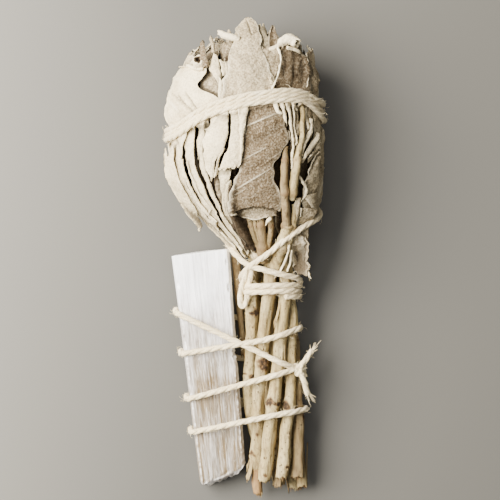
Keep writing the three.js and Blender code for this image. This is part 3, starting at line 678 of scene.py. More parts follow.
@dataclass(frozen=True)
class SparFinish:
    """Satin spar: white, cloudy and silky, with fine streaks along the bar and a faint painted glow."""

    white: Colour = (0.94, 0.935, 0.95)
    milk: Colour = (0.19, 0.134, 0.064)
    warm: Colour = (0.115, 0.083, 0.044)

    def streaks(self, paint: Paint, width: float, length: float) -> Value:
        """Noise in streaks along the bar, of a width and length in millimetres."""
        way = paint.add(
            "ShaderNodeCombineXYZ", None,
            {0: paint.value("across") / width, 1: paint.value("along") / length},
        )
        made = paint.add(
            "ShaderNodeTexNoise", None,
            {"Vector": way.outputs[0], "Scale": 1.0, "Detail": 3.0, "Roughness": 0.7},
        )
        return Value(paint, made.outputs["Fac"])

    def build(self) -> bpy.types.Material:
        """Mixes the material.

        Returns:
            The crystal material.
        """
        paint = Paint("satin_spar")
        down, worn = paint.value("down"), paint.value("worn")
        silk, threads, flecks = (
            self.streaks(paint, 1.5, 36.0), self.streaks(paint, 0.6, 8.0), self.streaks(paint, 0.8, 2.6),
        )
        clouds = paint.noise(17.0, 3.0, 0.6)
        depth = (down / 98 + (clouds - 0.5) * 0.55).step(0.12, 0.56)
        base = paint.mix(silk.step(0.34, 0.60) * 0.35 + 0.65, self.white, self.milk)
        base = paint.mix(0.06 + depth * 0.94, self.white, base)
        base = paint.mix(threads.step(0.48, 0.62) * (0.08 + depth * 0.6), base, self.warm)
        glints = (1 - threads.step(0.34, 0.44)) * 0.5 + flecks.step(0.62, 0.70) * clouds.step(0.40, 0.6)
        base = paint.mix(glints * 0.6, base, (0.93, 0.92, 0.90))
        base = paint.mix(worn.step(0.1, 0.9) * 0.7, base, (0.93, 0.92, 0.90))
        return paint.finish(
            base,
            0.40 - silk * 0.12 + worn * 0.25,
            [(silk, 0.16), (threads, 0.14), (flecks, 0.10)],
            Subsurface_Weight=0.3,
            Subsurface_Radius=(1.0, 0.93, 0.95),
            Subsurface_Scale=0.003,
            Specular_IOR_Level=0.6,
            Coat_Weight=0.1,
            Coat_Roughness=0.3,
            # Painted light: a faint glow of the bar's own colour.
            Emission_Color=base,
            Emission_Strength=0.10,
        )


@dataclass(frozen=True)
class CottonFinish:
    """Soft undyed cotton string."""

    cream: Colour = (0.82, 0.69, 0.42)
    shade: Colour = (0.34, 0.24, 0.115)

    def build(self) -> bpy.types.Material:
        """Mixes the material.

        Returns:
            The string material.
        """
        paint = Paint("cotton_string")
        lint = paint.noise(0.5, 3.0, 0.7)
        tufts = paint.noise(3.5, 3.0, 0.6)
        base = paint.mix(lint.step(0.42, 0.72) * 0.8, self.cream, self.shade)
        base = paint.mix(tufts.step(0.5, 0.7) * 0.4, base, (0.90, 0.80, 0.58))
        return paint.finish(base, 0.93, [(lint, 0.2)], Sheen_Weight=0.2, Sheen_Roughness=0.5)


@dataclass(frozen=True)
class FloorFinish:
    """Plain pale matt floor, with painted falloff of the light: darker to the right, away from the lamp."""

    grey: Colour = (0.125, 0.118, 0.099)
    far: Colour = (0.074, 0.070, 0.059)

    def build(self) -> bpy.types.Material:
        """Mixes the material.

        Returns:
            The floor material.
        """
        paint = Paint("plain_floor")
        grain = paint.noise(1.2, 2.0, 0.5)
        place = paint.add("ShaderNodeSeparateXYZ", None, {0: paint.place})
        # Painted falloff of the light: the floor grows darker to the right, away from the window lamp.
        away = Value(paint, place.outputs[0]).step(-0.115, -0.03)
        base = paint.mix(grain * 0.12, self.grey, (0.115, 0.109, 0.094))
        base = paint.mix(away * 0.95, base, self.far)
        return paint.finish(base, 0.5, ())


class Side(Enum):
    """The margin of a leaf that rolls up."""

    LEFT = "left"
    RIGHT = "right"
    END = "end"
    START = "start"


@dataclass(frozen=True)
class Leaf:
    """One leaf, or as much of it as shows.

    Attributes:
        rows: [left x, left y, right x, right y] in plan steps for a leaf seen from above, or
            [angle, y, half width] for one placed by its turn round the bundle.
        level: height off the skin that it would like, in millimetres.
        tone: 0 for pale, 1 for near-black brown; the high tones of the inner leaves are painted shade for the
            gaps.
        arch: how far its middle bulges out.
        fold: how far its midrib stands out, or its margins where negative.
        tilt: how far its right margin stands out, or its left one where negative.
        lift: how far its first and last ends stand off what they lie on.
        rolls: margins that roll up, each with the share of the width or length where the roll
            starts and its radius; a negative radius rolls inwards.
        limit: the steepest angle that the plan reaches; past it the leaf stands out sideways.
        ragged: how torn its last end is, in millimetres.
        crinkle: how crumpled it is.
        creases: plan lines [x, y, x, y, depth, width] that stand out, or in where negative.
        bow: how far the middle of its last end stands back, in plan steps.
        step: how far apart its points lie, in millimetres.
        line: how much painted highlight it carries, 0 to 1.
    """

    rows: Rows
    level: float = 0.0
    tone: float = 0.0
    arch: float = 0.3
    fold: float = 0.0
    tilt: float = 0.0
    lift: tuple[float, float] = (0.0, 0.0)
    rolls: tuple[tuple[Side, float, float], ...] = ()
    limit: float = 86.0
    ragged: float = 0.5
    crinkle: float = 1.0
    creases: tuple[tuple[float, ...], ...] = ()
    bow: float = 0.0
    step: float = 0.55
    line: float = 0.0

    def lattice(self, skin: Skin, draw: np.random.Generator) -> tuple[np.ndarray, ...]:
        """Lays out the leaf's points.

        Args:
            skin: the form it lies on.
            draw: where its small irregularities come from.

        Returns:
            Grids of angle, y, standing-out height and crease height, then the place across, -1
            to 1, and the place along, in millimetres.
        """
        table = np.asarray(self.rows, float)
        wavy = Ripple(fresh_seed(draw), 7.0, 6, 2)
        if table.shape[1] == 4:
            middle = (table[:, :2] + table[:, 2:]) / 2 * PLAN_STEP
            width = np.linalg.norm(table[:, :2] - table[:, 2:], axis=1).max() * PLAN_STEP
        else:
            x, z, a, b = skin.section(table[:, 1])
            middle = np.stack([np.radians(table[:, 0]) * (a + b) / 2, table[:, 1]], -1)
            width = table[:, 2].max() * 2
        run = np.concatenate([[0], np.cumsum(np.linalg.norm(np.diff(middle, axis=0), axis=1))])
        rows = int(np.clip(run[-1] / self.step, 9, 170))
        columns = int(np.clip(width / self.step, 7, 100)) | 1
        along = np.linspace(0, run[-1], rows)
        read = smooth_table(np.column_stack([run, table]), along)
        v = np.linspace(-1, 1, columns)
        along = along[:, None] + 0 * v
        across = v + 0 * along
        uneven = np.stack([along, across * 11], -1)
        margin = (0.08 + 0.012 * width) * wavy(uneven) * np.abs(across) ** 3
        end = np.clip(1 - (run[-1] - along) / 4.0, 0, 1)
        tear = Ripple(fresh_seed(draw), 3.0, 8, 1)
        torn = tear(across[..., None] * width / 2) * end * self.ragged
        if table.shape[1] == 4:
            share = (across + 1) / 2
            px = read[:, None, 0] * (1 - share) + read[:, None, 2] * share
            py = read[:, None, 1] * (1 - share) + read[:, None, 3] * share
            px = px + np.sign(across) * margin / PLAN_STEP
            forward = np.gradient(read[:, 1] + read[:, 3])[:, None]
            back = self.bow * (1 - across**2) * np.clip(1 - (run[-1] - along) / 14.0, 0, 1) ** 2
            py = py + np.sign(forward) * (torn / PLAN_STEP - back)
            angle, y, extra = skin.below(px, py, self.limit)
            crease = self.creased(px, py)
        else:
            x, z, a, b = skin.section(read[:, 1])
            turn = np.radians(read[:, 0])
            per = np.radians(np.hypot(a * np.cos(turn), b * np.sin(turn)))
            run_angle, run_y = np.gradient(read[:, 0]) * per, np.gradient(read[:, 1])
            length = np.maximum(np.hypot(run_angle, run_y), 1e-6)
            half = read[:, 2, None] * across + np.sign(across) * margin
            angle = read[:, 0, None] + half * (run_y / length / per)[:, None]
            y = read[:, 1, None] - half * (run_angle / length)[:, None] + torn * np.sign(run_y)[:, None]
            extra = crease = 0 * angle
        return angle, y, extra, crease, across, along

    def creased(self, column: np.ndarray, row: np.ndarray) -> np.ndarray:
        """The height that the creases add at plan places."""
        height = 0 * column
        for x0, y0, x1, y1, depth, width in self.creases:
            run = np.array([x1 - x0, y1 - y0])
            share = ((column - x0) * run[0] + (row - y0) * run[1]) / (run @ run)
            share = np.clip(share, 0, 1)
            off = np.hypot(column - x0 - share * run[0], row - y0 - share * run[1])
            ends = np.sin(np.pi * np.clip(share, 0.08, 0.92)) ** 0.5
            height = height + depth * np.exp(-((off / width) ** 2)) * ends
        return height


@dataclass(frozen=True)
class Curl:
    """A piece of leaf that has dried into a roll.

    Attributes:
        rows: [x, y, height, radius, first angle, last angle] along its middle line, with x and y in
            plan steps, the height off the skin in millimetres, and the angles of its two margins
            in degrees round the line, from straight out.
        tone: 0 for pale, 1 for near-black brown; the curls of tone 1 inside others are painted shade in their
            hollows.
        ragged: how torn its last end is, in millimetres.
        spiral: how far it rolls inside itself, 0 to 1.
        line: how much painted highlight it carries, 0 to 1.
    """

    rows: Rows
    tone: float = 0.0
    ragged: float = 0.5
    spiral: float = 1.0
    line: float = 0.0


class LeafyHead:
    """The bundle of leaves, each laid over the ones under it, gathered by the stem it grows on."""

    THICKNESS = 0.42
    STEM_AT = {
        "stem_front": 0,
        "stem_right_front": 45,
        "stem_right": 90,
        "stem_right_back": 135,
        "stem_back_right": 180,
        "stem_back": 225,
        "stem_back_left": 270,
        "stem_left": 315,
    }

    def __init__(self, skin: Skin, seed: int = 11) -> None:
        """Starts with a bare core.

        Args:
            skin: the form of the head.
            seed: what its irregularities start from.
        """
        self.skin = skin
        self.drape = Drape(skin, -13.0)
        self.draw = np.random.default_rng(seed)
        self.crumple = Ripple(seed + 1, 10.0, 9)
        self.pucker = Ripple(seed + 2, 3.6, 9)
        self.wrinkle = Ripple(seed + 3, 1.7, 11)
        self.shapes = {name: Shape() for name in (*self.STEM_AT, "middle_stem")}
        self.laid: list[tuple] = []
        self.rolls: list[Curl] = []

    def nearest(self, angle: float) -> str:
        """The name of the stem that a leaf at an angle grows on."""
        return min(self.STEM_AT, key=lambda name: abs((self.STEM_AT[name] - angle + 180) % 360 - 180))

    def rolled(
        self, points: np.ndarray, outward: np.ndarray, side: Side, start: float, radius: float
    ) -> np.ndarray:
        """Rolls one margin of a sheet of points round a line.

        Args:
            points: the sheet, rows along and columns across.
            outward: the direction away from the bundle at each point.
            side: which margin.
            start: where the roll starts, as a share from the other margin.
            radius: the roll's radius; negative rolls inwards.

        Returns:
            The sheet with its margin rolled.
        """
        grid = points if side in (Side.END, Side.START) else points.swapaxes(0, 1)
        out = outward if side in (Side.END, Side.START) else outward.swapaxes(0, 1)
        back = side in (Side.LEFT, Side.START)
        if back:
            grid, out = grid[::-1], out[::-1]
        grid = grid.copy()
        first = int(np.clip(round(start * (len(grid) - 1)), 1, len(grid) - 2))
        way = unit(grid[first] - grid[max(first - 2, 0)])
        up = unit(out[first] - (out[first] * way).sum(-1, keepdims=True) * way)
        steps = np.linalg.norm(np.diff(grid[first:], axis=0), axis=-1)
        run = np.concatenate([np.zeros((1, grid.shape[1])), np.cumsum(steps, axis=0)])[..., None]
        bend = np.minimum(run / abs(radius), 5.2)
        reach = abs(radius) * (1 - 0.10 * bend)
        rise = up * math.copysign(1, radius) * reach * (1 - np.cos(bend))
        grid[first:] = grid[first] + way * reach * np.sin(bend) + rise
        if back:
            grid = grid[::-1]
        return grid if side in (Side.END, Side.START) else grid.swapaxes(0, 1)

    def lay(self, leaf: Leaf, node: str | None = None) -> None:
        """Lays one leaf on what is there.

        Args:
            leaf: the leaf.
            node: the stem it goes with, or none for the nearest.
        """
        angle, y, extra, crease, across, along = leaf.lattice(self.skin, self.draw)
        share = along / along[-1, 0]
        passes = int(np.clip(11 / leaf.step**2, 6, 44))
        base = self.drape.settle(angle, y, leaf.level + extra, self.THICKNESS + 0.08, passes)
        tilted = abs(leaf.tilt) * (1 + np.sign(leaf.tilt) * across) / 2
        height = base + leaf.arch * (1 - across**2) + crease + tilted
        height += leaf.fold * (1 - np.abs(across)) if leaf.fold > 0 else -leaf.fold * np.abs(across)
        self.drape.mark(angle, y, base + 0.75 * (height - base))
        start, end = leaf.lift
        height = height + start * np.clip(1 - share / 0.4, 0, 1) ** 1.6
        height = height + end * np.clip((share - 0.6) / 0.4, 0, 1) ** 1.6
        points = self.skin.point(angle, y, height)
        middle = self.skin.section(y)
        outward = np.stack([points[..., 0] - middle[0], 0 * y, points[..., 2] - middle[1]], -1)
        outward = unit(outward)
        rough = 0.26 * self.crumple(points) + 0.10 * self.pucker(points) + 0.045 * self.wrinkle(points)
        points = points + outward * (rough * leaf.crinkle)[..., None]
        for side, first, radius in leaf.rolls:
            points = self.rolled(points, outward, side, first, radius)
        points[..., 2] = np.maximum(points[..., 2], self.THICKNESS + 0.08)
        if looks_inwards(points, outward):
            points, across, along = points[:, ::-1], across[:, ::-1], along[:, ::-1]
        name = node or self.nearest(float(np.median(angle)))
        fade = leaf.tone + 0.12 * (self.draw.random() - 0.5)
        # Painted highlight: creases that stand out, and whole leaves by their line value, are painted paler.
        line = np.clip(crease * 2.2 + leaf.line, 0, 1)
        flip = slice(None, None, -1 if across[0, 0] > 0 else 1)
        # Creases that go in are kept here so that shade can be painted into them.
        self.laid.append((
            name, angle[:, flip], y[:, flip], base[:, flip], np.clip(-crease[:, flip] * 1.1, 0, 1),
        ))
        shape = self.shapes[name]
        shape.sheet(
            points, self.THICKNESS, tone=np.full(across.shape, fade), across=across, line=line[:, flip],
            deep=0.0,
        )

    def shade(self) -> None:
        """Paints shade, from 0 to 1, on the places that lie low beside or under other leaves and in the creases
        that go in.
        """
        counts = dict.fromkeys(self.shapes, 0)
        for name, angle, y, height, crease_shade in self.laid:
            near = np.clip((self.drape.under(angle, y, 1) - height - 0.75) / 1.6, 0, 1)
            far = np.clip((self.drape.under(angle, y, 4) - height - 1.2) / 4.5, 0, 1)
            deep = np.clip(0.55 * near + 0.75 * far + crease_shade, 0, 1)
            self.shapes[name].values["deep"][counts[name]] = np.tile(deep.ravel(), 2)
            counts[name] += 1

    def place(self, *leaves: Leaf) -> None:
        """Lays leaves one after the other."""
        for leaf in leaves:
            self.lay(leaf)

    def curl(self, curl: Curl) -> None:
        """Adds one rolled piece of leaf."""
        table = np.asarray(curl.rows, float)
        run = np.concatenate([[0], np.cumsum(np.hypot(*np.diff(table[:, :2], axis=0).T))]) * PLAN_STEP
        at = np.linspace(0, run[-1], max(10, int(run[-1] / 0.45)))
        px, py, height, radius, first, last = smooth_table(np.column_stack([run, table]), at).T
        angle, y, extra = self.skin.below(px, py, 89.0)
        middle = self.skin.section(y)
        path = self.skin.point(angle, y, height + extra)
        out = np.stack([path[:, 0] - middle[0], 0 * y, path[:, 2] - middle[1]], -1)
        way = unit(np.gradient(path, axis=0))
        out = unit(out - (out * way).sum(1, keepdims=True) * way)
        side = np.cross(way, out)
        columns = int(np.clip(np.ptp(table[:, 4:]) * np.radians(1) * table[:, 3].max() / 0.4, 9, 60))
        v = np.linspace(0, 1, columns)
        turn = np.radians(first[:, None] + (last - first)[:, None] * v)
        size = radius[:, None] * (1 - 0.22 * v * curl.spiral)
        points = ring_points(path, size[..., None], side, out, turn)
        torn = Ripple(fresh_seed(self.draw), 2.6, 8, 1)
        end = np.clip(1 - (at[-1] - at) / 2.5, 0, 1)[:, None]
        points += way[:, None] * (torn(v[:, None] * columns * 0.4) * end * curl.ragged)[..., None]
        away = unit(points - path[:, None])
        points += away * (0.12 * self.pucker(points) + 0.07 * self.wrinkle(points))[..., None]
        points[..., 2] = np.maximum(points[..., 2], 0.5)
        across = 2 * v - 1 + 0 * turn
        if looks_inwards(points, away):
            points, across = points[:, ::-1], across[:, ::-1]
        line = np.full(across.shape, curl.line)
        name = self.nearest(float(np.median(angle)))
        # Slight painted shade on the part of the roll that faces in.
        shade = np.clip(np.cos(turn * 0.5) * -1.2 + 0.1, 0, 1)
        self.shapes[name].sheet(
            points, min(self.THICKNESS, radius.min()), tone=curl.tone, across=across, line=line, deep=shade,
        )

    def ring(
        self,
        turns: Iterable[float],
        rows: Rows,
        level: float,
        tone: float,
        sway: float = 6.0,
        node: str | None = None,
        **style: object,
    ) -> None:
        """Lays like leaves round the bundle, each a little different.

        Args:
            turns: the angle of each leaf.
            rows: [angle, y, half width] of the leaf at angle 0.
            level: wished height off the skin.
            tone: 0 for pale, 1 for brown.
            sway: how unlike each other they are, in degrees and as millimetres of shift.
            node: the stem they go with, or none for the nearest.
            style: other fields of the leaves.
        """
        for turn in turns:
            sides, size = self.draw.uniform(-1, 1, 2)
            lean, shift = self.draw.uniform(-1, 1, 2)
            table = np.asarray(rows, float).copy()
            share = np.linspace(-0.5, 0.7, len(table))
            table[:, 0] += turn + sway * (0.5 * sides + lean * share)
            table[:, 1] += shift * sway * 0.2
            table[:, 2] *= 1 + 0.14 * size
            arch = float(self.draw.uniform(0.1, 0.7))
            self.lay(
                Leaf(
                    table.tolist(), level, tone + 0.15 * float(self.draw.random() - 0.5),
                    **{"arch": arch, "step": 0.9, **style},
                ),
                node,
            )

    def packed(self) -> None:
        """Lays the inner leaves, which show between the outer ones and at the tip."""
        core = np.arange(0, 360, 51.4)
        low = numbers("0 2 3, 0 12 7, 0 26 9.5, 0 40 10, 0 54 6")
        high = numbers("0 44 6, 0 58 10, 0 70 9.5, 0 78 8, 0 85 4.5, 0 90 1.0")
        # The inner leaves' high tones are painted shade: they show near black in the gaps between the outer
        # leaves.
        self.ring(core, low, -11.5, 0.8, step=1.9, node="middle_stem")
        self.ring(
            core + 20, high, -11.5, 0.62, lift=(0, 2.0), step=1.4, rolls=((Side.END, 0.82, 1.8),),
            node="middle_stem",
        )
        around = np.arange(0, 360, 40.0)
        self.ring(around, low, -9.5, 0.7, step=1.5)
        self.ring(
            around + 18, numbers("0 40 5, 0 54 9, 0 66 10, 0 75 8.5, 0 83 5.5, 0 88 1.2"), -9.0, 0.45,
            lift=(0, 1.6), step=1.1, rolls=((Side.LEFT, 0.82, 1.6),),
        )
        self.ring(around + 9, low, -7.5, 0.6, step=1.4)
        self.ring(
            around + 30, numbers("0 42 5, 0 56 9, 0 68 9.5, 0 77 7.5, 0 84 3.6, 0 87 1.2"), -6.8, 0.3,
            lift=(0, 1.5), step=1.0, rolls=((Side.RIGHT, 0.84, 1.4),),
        )

    def sides_and_back(self) -> None:
        """Lays the outer leaves where they are placed by rule, from side to side behind."""
        low = numbers("0 -3 1.6, 0 6 3.6, 0 16 6.0, 0 28 7.6, 0 41 7.6, 0 53 4.4, 0 58 1.0")
        short = numbers("0 1 1.4, 0 9 3.4, 0 19 5.0, 0 31 5.6, 0 43 3.6, 0 49 0.8")
        high = numbers("0 45 4.0, 0 54 7.6, 0 63 9.2, 0 71 8.0, 0 78 4.6, 0 82 0.8")
        tall = numbers("0 48 3.0, 0 57 6.0, 0 66 6.8, 0 75 5.4, 0 81 3.0, 0 85 0.8")
        self.ring(np.arange(62, 300, 30.0), low, -5.8, 0.35, 9.0, fold=0.8, ragged=1.2)
        self.ring(np.arange(76, 290, 34.0), high, -5.2, 0.3, 9.0, lift=(0, 1.2))
        self.ring(np.arange(82, 290, 29.0), short, -4.4, 0.2, 9.0, fold=0.9, lift=(0, 0.8))
        self.ring(
            np.arange(90, 285, 36.0), tall, -3.8, 0.2, 8.0, fold=-0.5, lift=(0, 1.0),
            rolls=((Side.LEFT, 0.86, 1.5),),
        )
        self.ring(np.arange(96, 275, 27.0), low, -2.8, 0.1, 8.0, fold=-0.6, lift=(0, 1.2))
        self.ring(np.arange(78, 296, 31.0), high, -2.4, 0.12, 8.0, fold=0.5, lift=(0, 0.8))
        self.ring(np.arange(88, 282, 33.0), short, -1.6, 0.1, 8.0, fold=0.8, rolls=((Side.RIGHT, 0.86, 1.3),))
        for turn in (75, 105, 255, 285):
            band = self.drape.under(np.arange(turn - 8.0, turn + 8), np.full(16, 48.0), 1)
            LOG.info("leaves reach %.1f mm off the skin at %d degrees", band.mean(), turn)

    def upper_front(self) -> None:
        """Lays the leaves that show above the head string."""
        self.place(
            # This leaf and the third, of tone 1, lie low as near-black painted shade under the others.
            Leaf(numbers("264 50 281 50, 263 42 278 43, 264 36 272 37.5"), -6.0, 1.0, ragged=0.6),
            Leaf(numbers(
                "217 64 232 60, 214 52 231.5 50, 214.5 46 231.5 43, 217 43 230 40.5"
            ), -4.6, 0.46, 0.2, 0.9, ragged=0.6),
            Leaf(numbers("218 80 232 78, 218 66 232 64, 220 58 231 57"), -4.6, 1.0),
            Leaf(numbers(
                "262 52 280 50, 260 40 275 41, 258.5 31 268.8 35, 258 24.5 262.5 26"
            ), -2.6, 0.05, 0.9, ragged=0.2),
            Leaf(numbers(
                "269.5 56 281 54, 269.6 43 280 43, 270.5 34 278.6 34.5, 272.4 27.5 275.8 27.2, "
                "273.6 25.6 274.4 25.6"
            ), -1.9, 0.6, -0.3, -0.5, ragged=0.0, lift=(0, 0.8)),
            Leaf(numbers(
                "292 66 305 66, 294 56 306 58, 296 49 304 52, 299 46.5 302 48"
            ), -2.6, 0.3, crinkle=1.6, ragged=1.0),
            Leaf(numbers(
                "197 101 221 101, 193 86 221 88, 197 75 219 77, 203 69 214 71"
            ), -3.6, 0.3, -0.3, crinkle=1.5),
            Leaf(numbers("186 68 200 72, 190 61 206 66, 196 56 209 60"), -1.4, 0.0, 0.3, ragged=0.4),
            Leaf(numbers(
                "217.4 98 223.5 98, 216.8 84 222 84, 211.5 74.5 221 76, 207.5 68.5 219.5 70, "
                "209 60 218 62, 212.6 53.5 215.4 53.8"
            ), -1.2, 0.0, 0.2, 0.5, ragged=0.2),
            Leaf(numbers(
                "222 76 226.5 75, 220.5 67 225 66, 218.5 60 222.8 59.5"
            ), -1.6, 0.02, 0.5, ragged=0.5),
            Leaf(numbers(
                "225.8 74 229.4 73, 224.4 67 228 65.5, 222.6 61 226.4 60"
            ), -1.9, 0.04, 0.5, ragged=0.5),
            Leaf(numbers(
                "165 130 216 118, 164 116 218 108, 165 104 217.5 100, 168 92 209 93, 170 87 201 89.5, "
                "171.5 80 197 84, 174.5 74.5 201.5 77.5, 178 69.5 205 72.5, 184 65.5 203.5 69"
            ), -0.4, 0.0, 0.4,
                creases=numbers(
                    "178 95 191 112 -1.5 0.7, 185 92 196 110 -1.4 0.7, 170 93 183 103 -0.9 0.6, "
                    "168 101 178 112 0.6 1.2"
                ), rolls=((Side.END, 0.95, 0.9),), ragged=0.2),
            Leaf(numbers(
                "218.3 106 223 104, 218.8 96 223 96, 218.6 86 223.6 86, 218.8 79 222.8 79"
            ), 0.5, 0.05, 0.8, crinkle=1.6, line=0.5),
            Leaf(numbers(
                "302 100 318 101, 305 85 317.2 86, 306.5 73 316 74, 305.5 62 313 62, 305 53 310.4 50.5"
            ), 0.0, 0.42, 0.4, -0.6, rolls=((Side.LEFT, 0.82, 1.0),), ragged=0.4),
            Leaf(numbers(
                "270 100 311 100, 272 86 310 87, 275 75 310 76, 277.5 64 308.6 65, 279 56 306 58, "
                "279 49.5 301 53, 283 46.5 296 49.5"
            ), -0.5, 0.62, 0.5, crinkle=1.3, ragged=0.8,
                creases=numbers("287 54 285 80 -0.4 1.8, 295 58 294 90 -0.5 1.5, 304 66 303 88 -0.5 1.2")),
            Leaf(numbers(
                "262 101 272.2 98, 266 87 273.6 87, 268 77 277 75, 266 66 279.6 64, 262 55 279.6 56, "
                "261.5 47 277.6 46.5"
            ), 0.0, 0.40, 0.2, crinkle=1.2, ragged=0.3),
            Leaf(numbers(
                "222.5 113 272 103, 222.5 101 272.5 97, 224 91 274.5 88, 224.5 80 274.5 79, "
                "227 70 270.5 70.5, 228.5 60 266.8 60.5, 229 52 263.5 52, 231 45 261.5 45, "
                "237.6 39.5 261 39.5, 239.2 35.6 260.8 34.6, 234.2 30 259.6 29, 239.4 24.2 255.4 22.8, "
                "245.4 18.2 249.8 17.4"
            ), 0.5, 0.27, 0.6,
                creases=numbers(
                    "246.8 20 251.8 34.8 -1.1 0.6, 251.6 34.6 257.6 31.2 -1.1 0.6, "
                    "229 100 262 92 0.35 3.0"
                ), ragged=0.2),
        )
        for made in (
            Curl(numbers(
                "206.6 67 -0.4 1.8 -120 80, 206.4 56 1.2 2.1 -120 75, 207.4 47.5 2.0 1.9 -120 70, "
                "208.8 41.6 2.4 1.2 -120 60"
            ), 0.5, 0.7, line=0.1),
            Curl(numbers(
                "212.4 53 -0.6 0.9 -150 150, 213.6 45 0.6 0.9 -150 150, 213.0 37.6 1.2 0.7 -150 120"
            ), 0.3, 0.8),
            Curl(numbers(
                "240 39.5 0.0 1.3 -150 95, 233 37.4 1.2 1.8 -150 95, 227 35.2 1.8 1.6 -160 110, "
                "223.4 32.8 2.4 1.2 -170 130"
            ), 0.0, 0.4, line=0.5),
            Curl(numbers(
                "197 70 -0.6 1.5 -175 160, 199.5 65 0.6 2.3 -175 165, 202 61 2.0 2.5 -175 165, "
                "203.4 59.2 3.2 2.2 -175 165"
            ), 0.0, 0.3, 0.2, line=0.4),
            # A near-black lining inside the roll above: painted shade in its hollow.
            Curl(numbers(
                "200.4 63 1.2 1.8 -175 160, 201.8 61 1.8 1.8 -175 165, 202.8 59.8 2.6 1.6 -175 165"
            ), 1.0, 0.0, 0.9),
            Curl(numbers(
                "203.5 69.5 0.2 0.9 -150 150, 197 68.2 0.6 1.0 -150 150, 188 65.4 0.4 0.8 -150 140"
            ), 0.0, 0.3, line=0.4),
            Curl(numbers(
                "280.4 46 -0.5 1.6 -160 140, 283 41.4 0.4 2.0 -165 150, 287 39.4 1.2 2.3 -170 160, "
                "290.6 41.6 2.2 2.3 -175 165, 292.2 43.8 3.2 2.0 -175 170"
            ), 0.0, 0.4, 0.2, line=0.5),
            # A near-black lining inside the roll above: painted shade in its hollow.
            Curl(numbers(
                "287 39.8 1.2 1.7 -175 170, 290 41.8 2.0 1.7 -175 170, 291.4 43.2 2.7 1.4 -175 170"
            ), 1.0, 0.0, 0.9),
            Curl(numbers(
                "270 50 -0.6 0.9 -160 130, 274.5 47.4 0.4 1.0 -160 130, 281.5 43.8 1.0 0.9 -160 130"
            ), 0.0, 0.6, line=0.3),
            Curl(numbers(
                "286 47.5 0.0 0.9 -160 130, 293 49.6 0.6 1.0 -160 130, 299.6 52.6 0.4 0.7 -160 130"
            ), 0.1, 0.6, line=0.3),
            Curl(numbers(
                "276.4 46.5 1.0 0.5 -175 160, 278.0 52 1.3 0.42 -175 160, 279.6 59.5 1.4 0.5 -175 160, "
                "278.4 67 1.3 0.4 -175 160, 276.6 75 1.3 0.46 -175 160, 274.2 83 1.3 0.38 -175 160, "
                "271.8 90 1.0 0.4 -175 160"
            ), 0.0, 0.2, line=1.0),
            Curl(numbers("272.4 84 0.6 0.6 -120 120, 269.4 77.8 0.9 0.7 -130 130"), 0.2),
            Curl(numbers(
                "313.8 78 0.4 0.7 -150 150, 316.4 80 0.8 0.7 -150 150, 317.2 82.5 0.4 0.6 -150 150"
            ), 0.3),
        ):
            self.rolls.append(made)

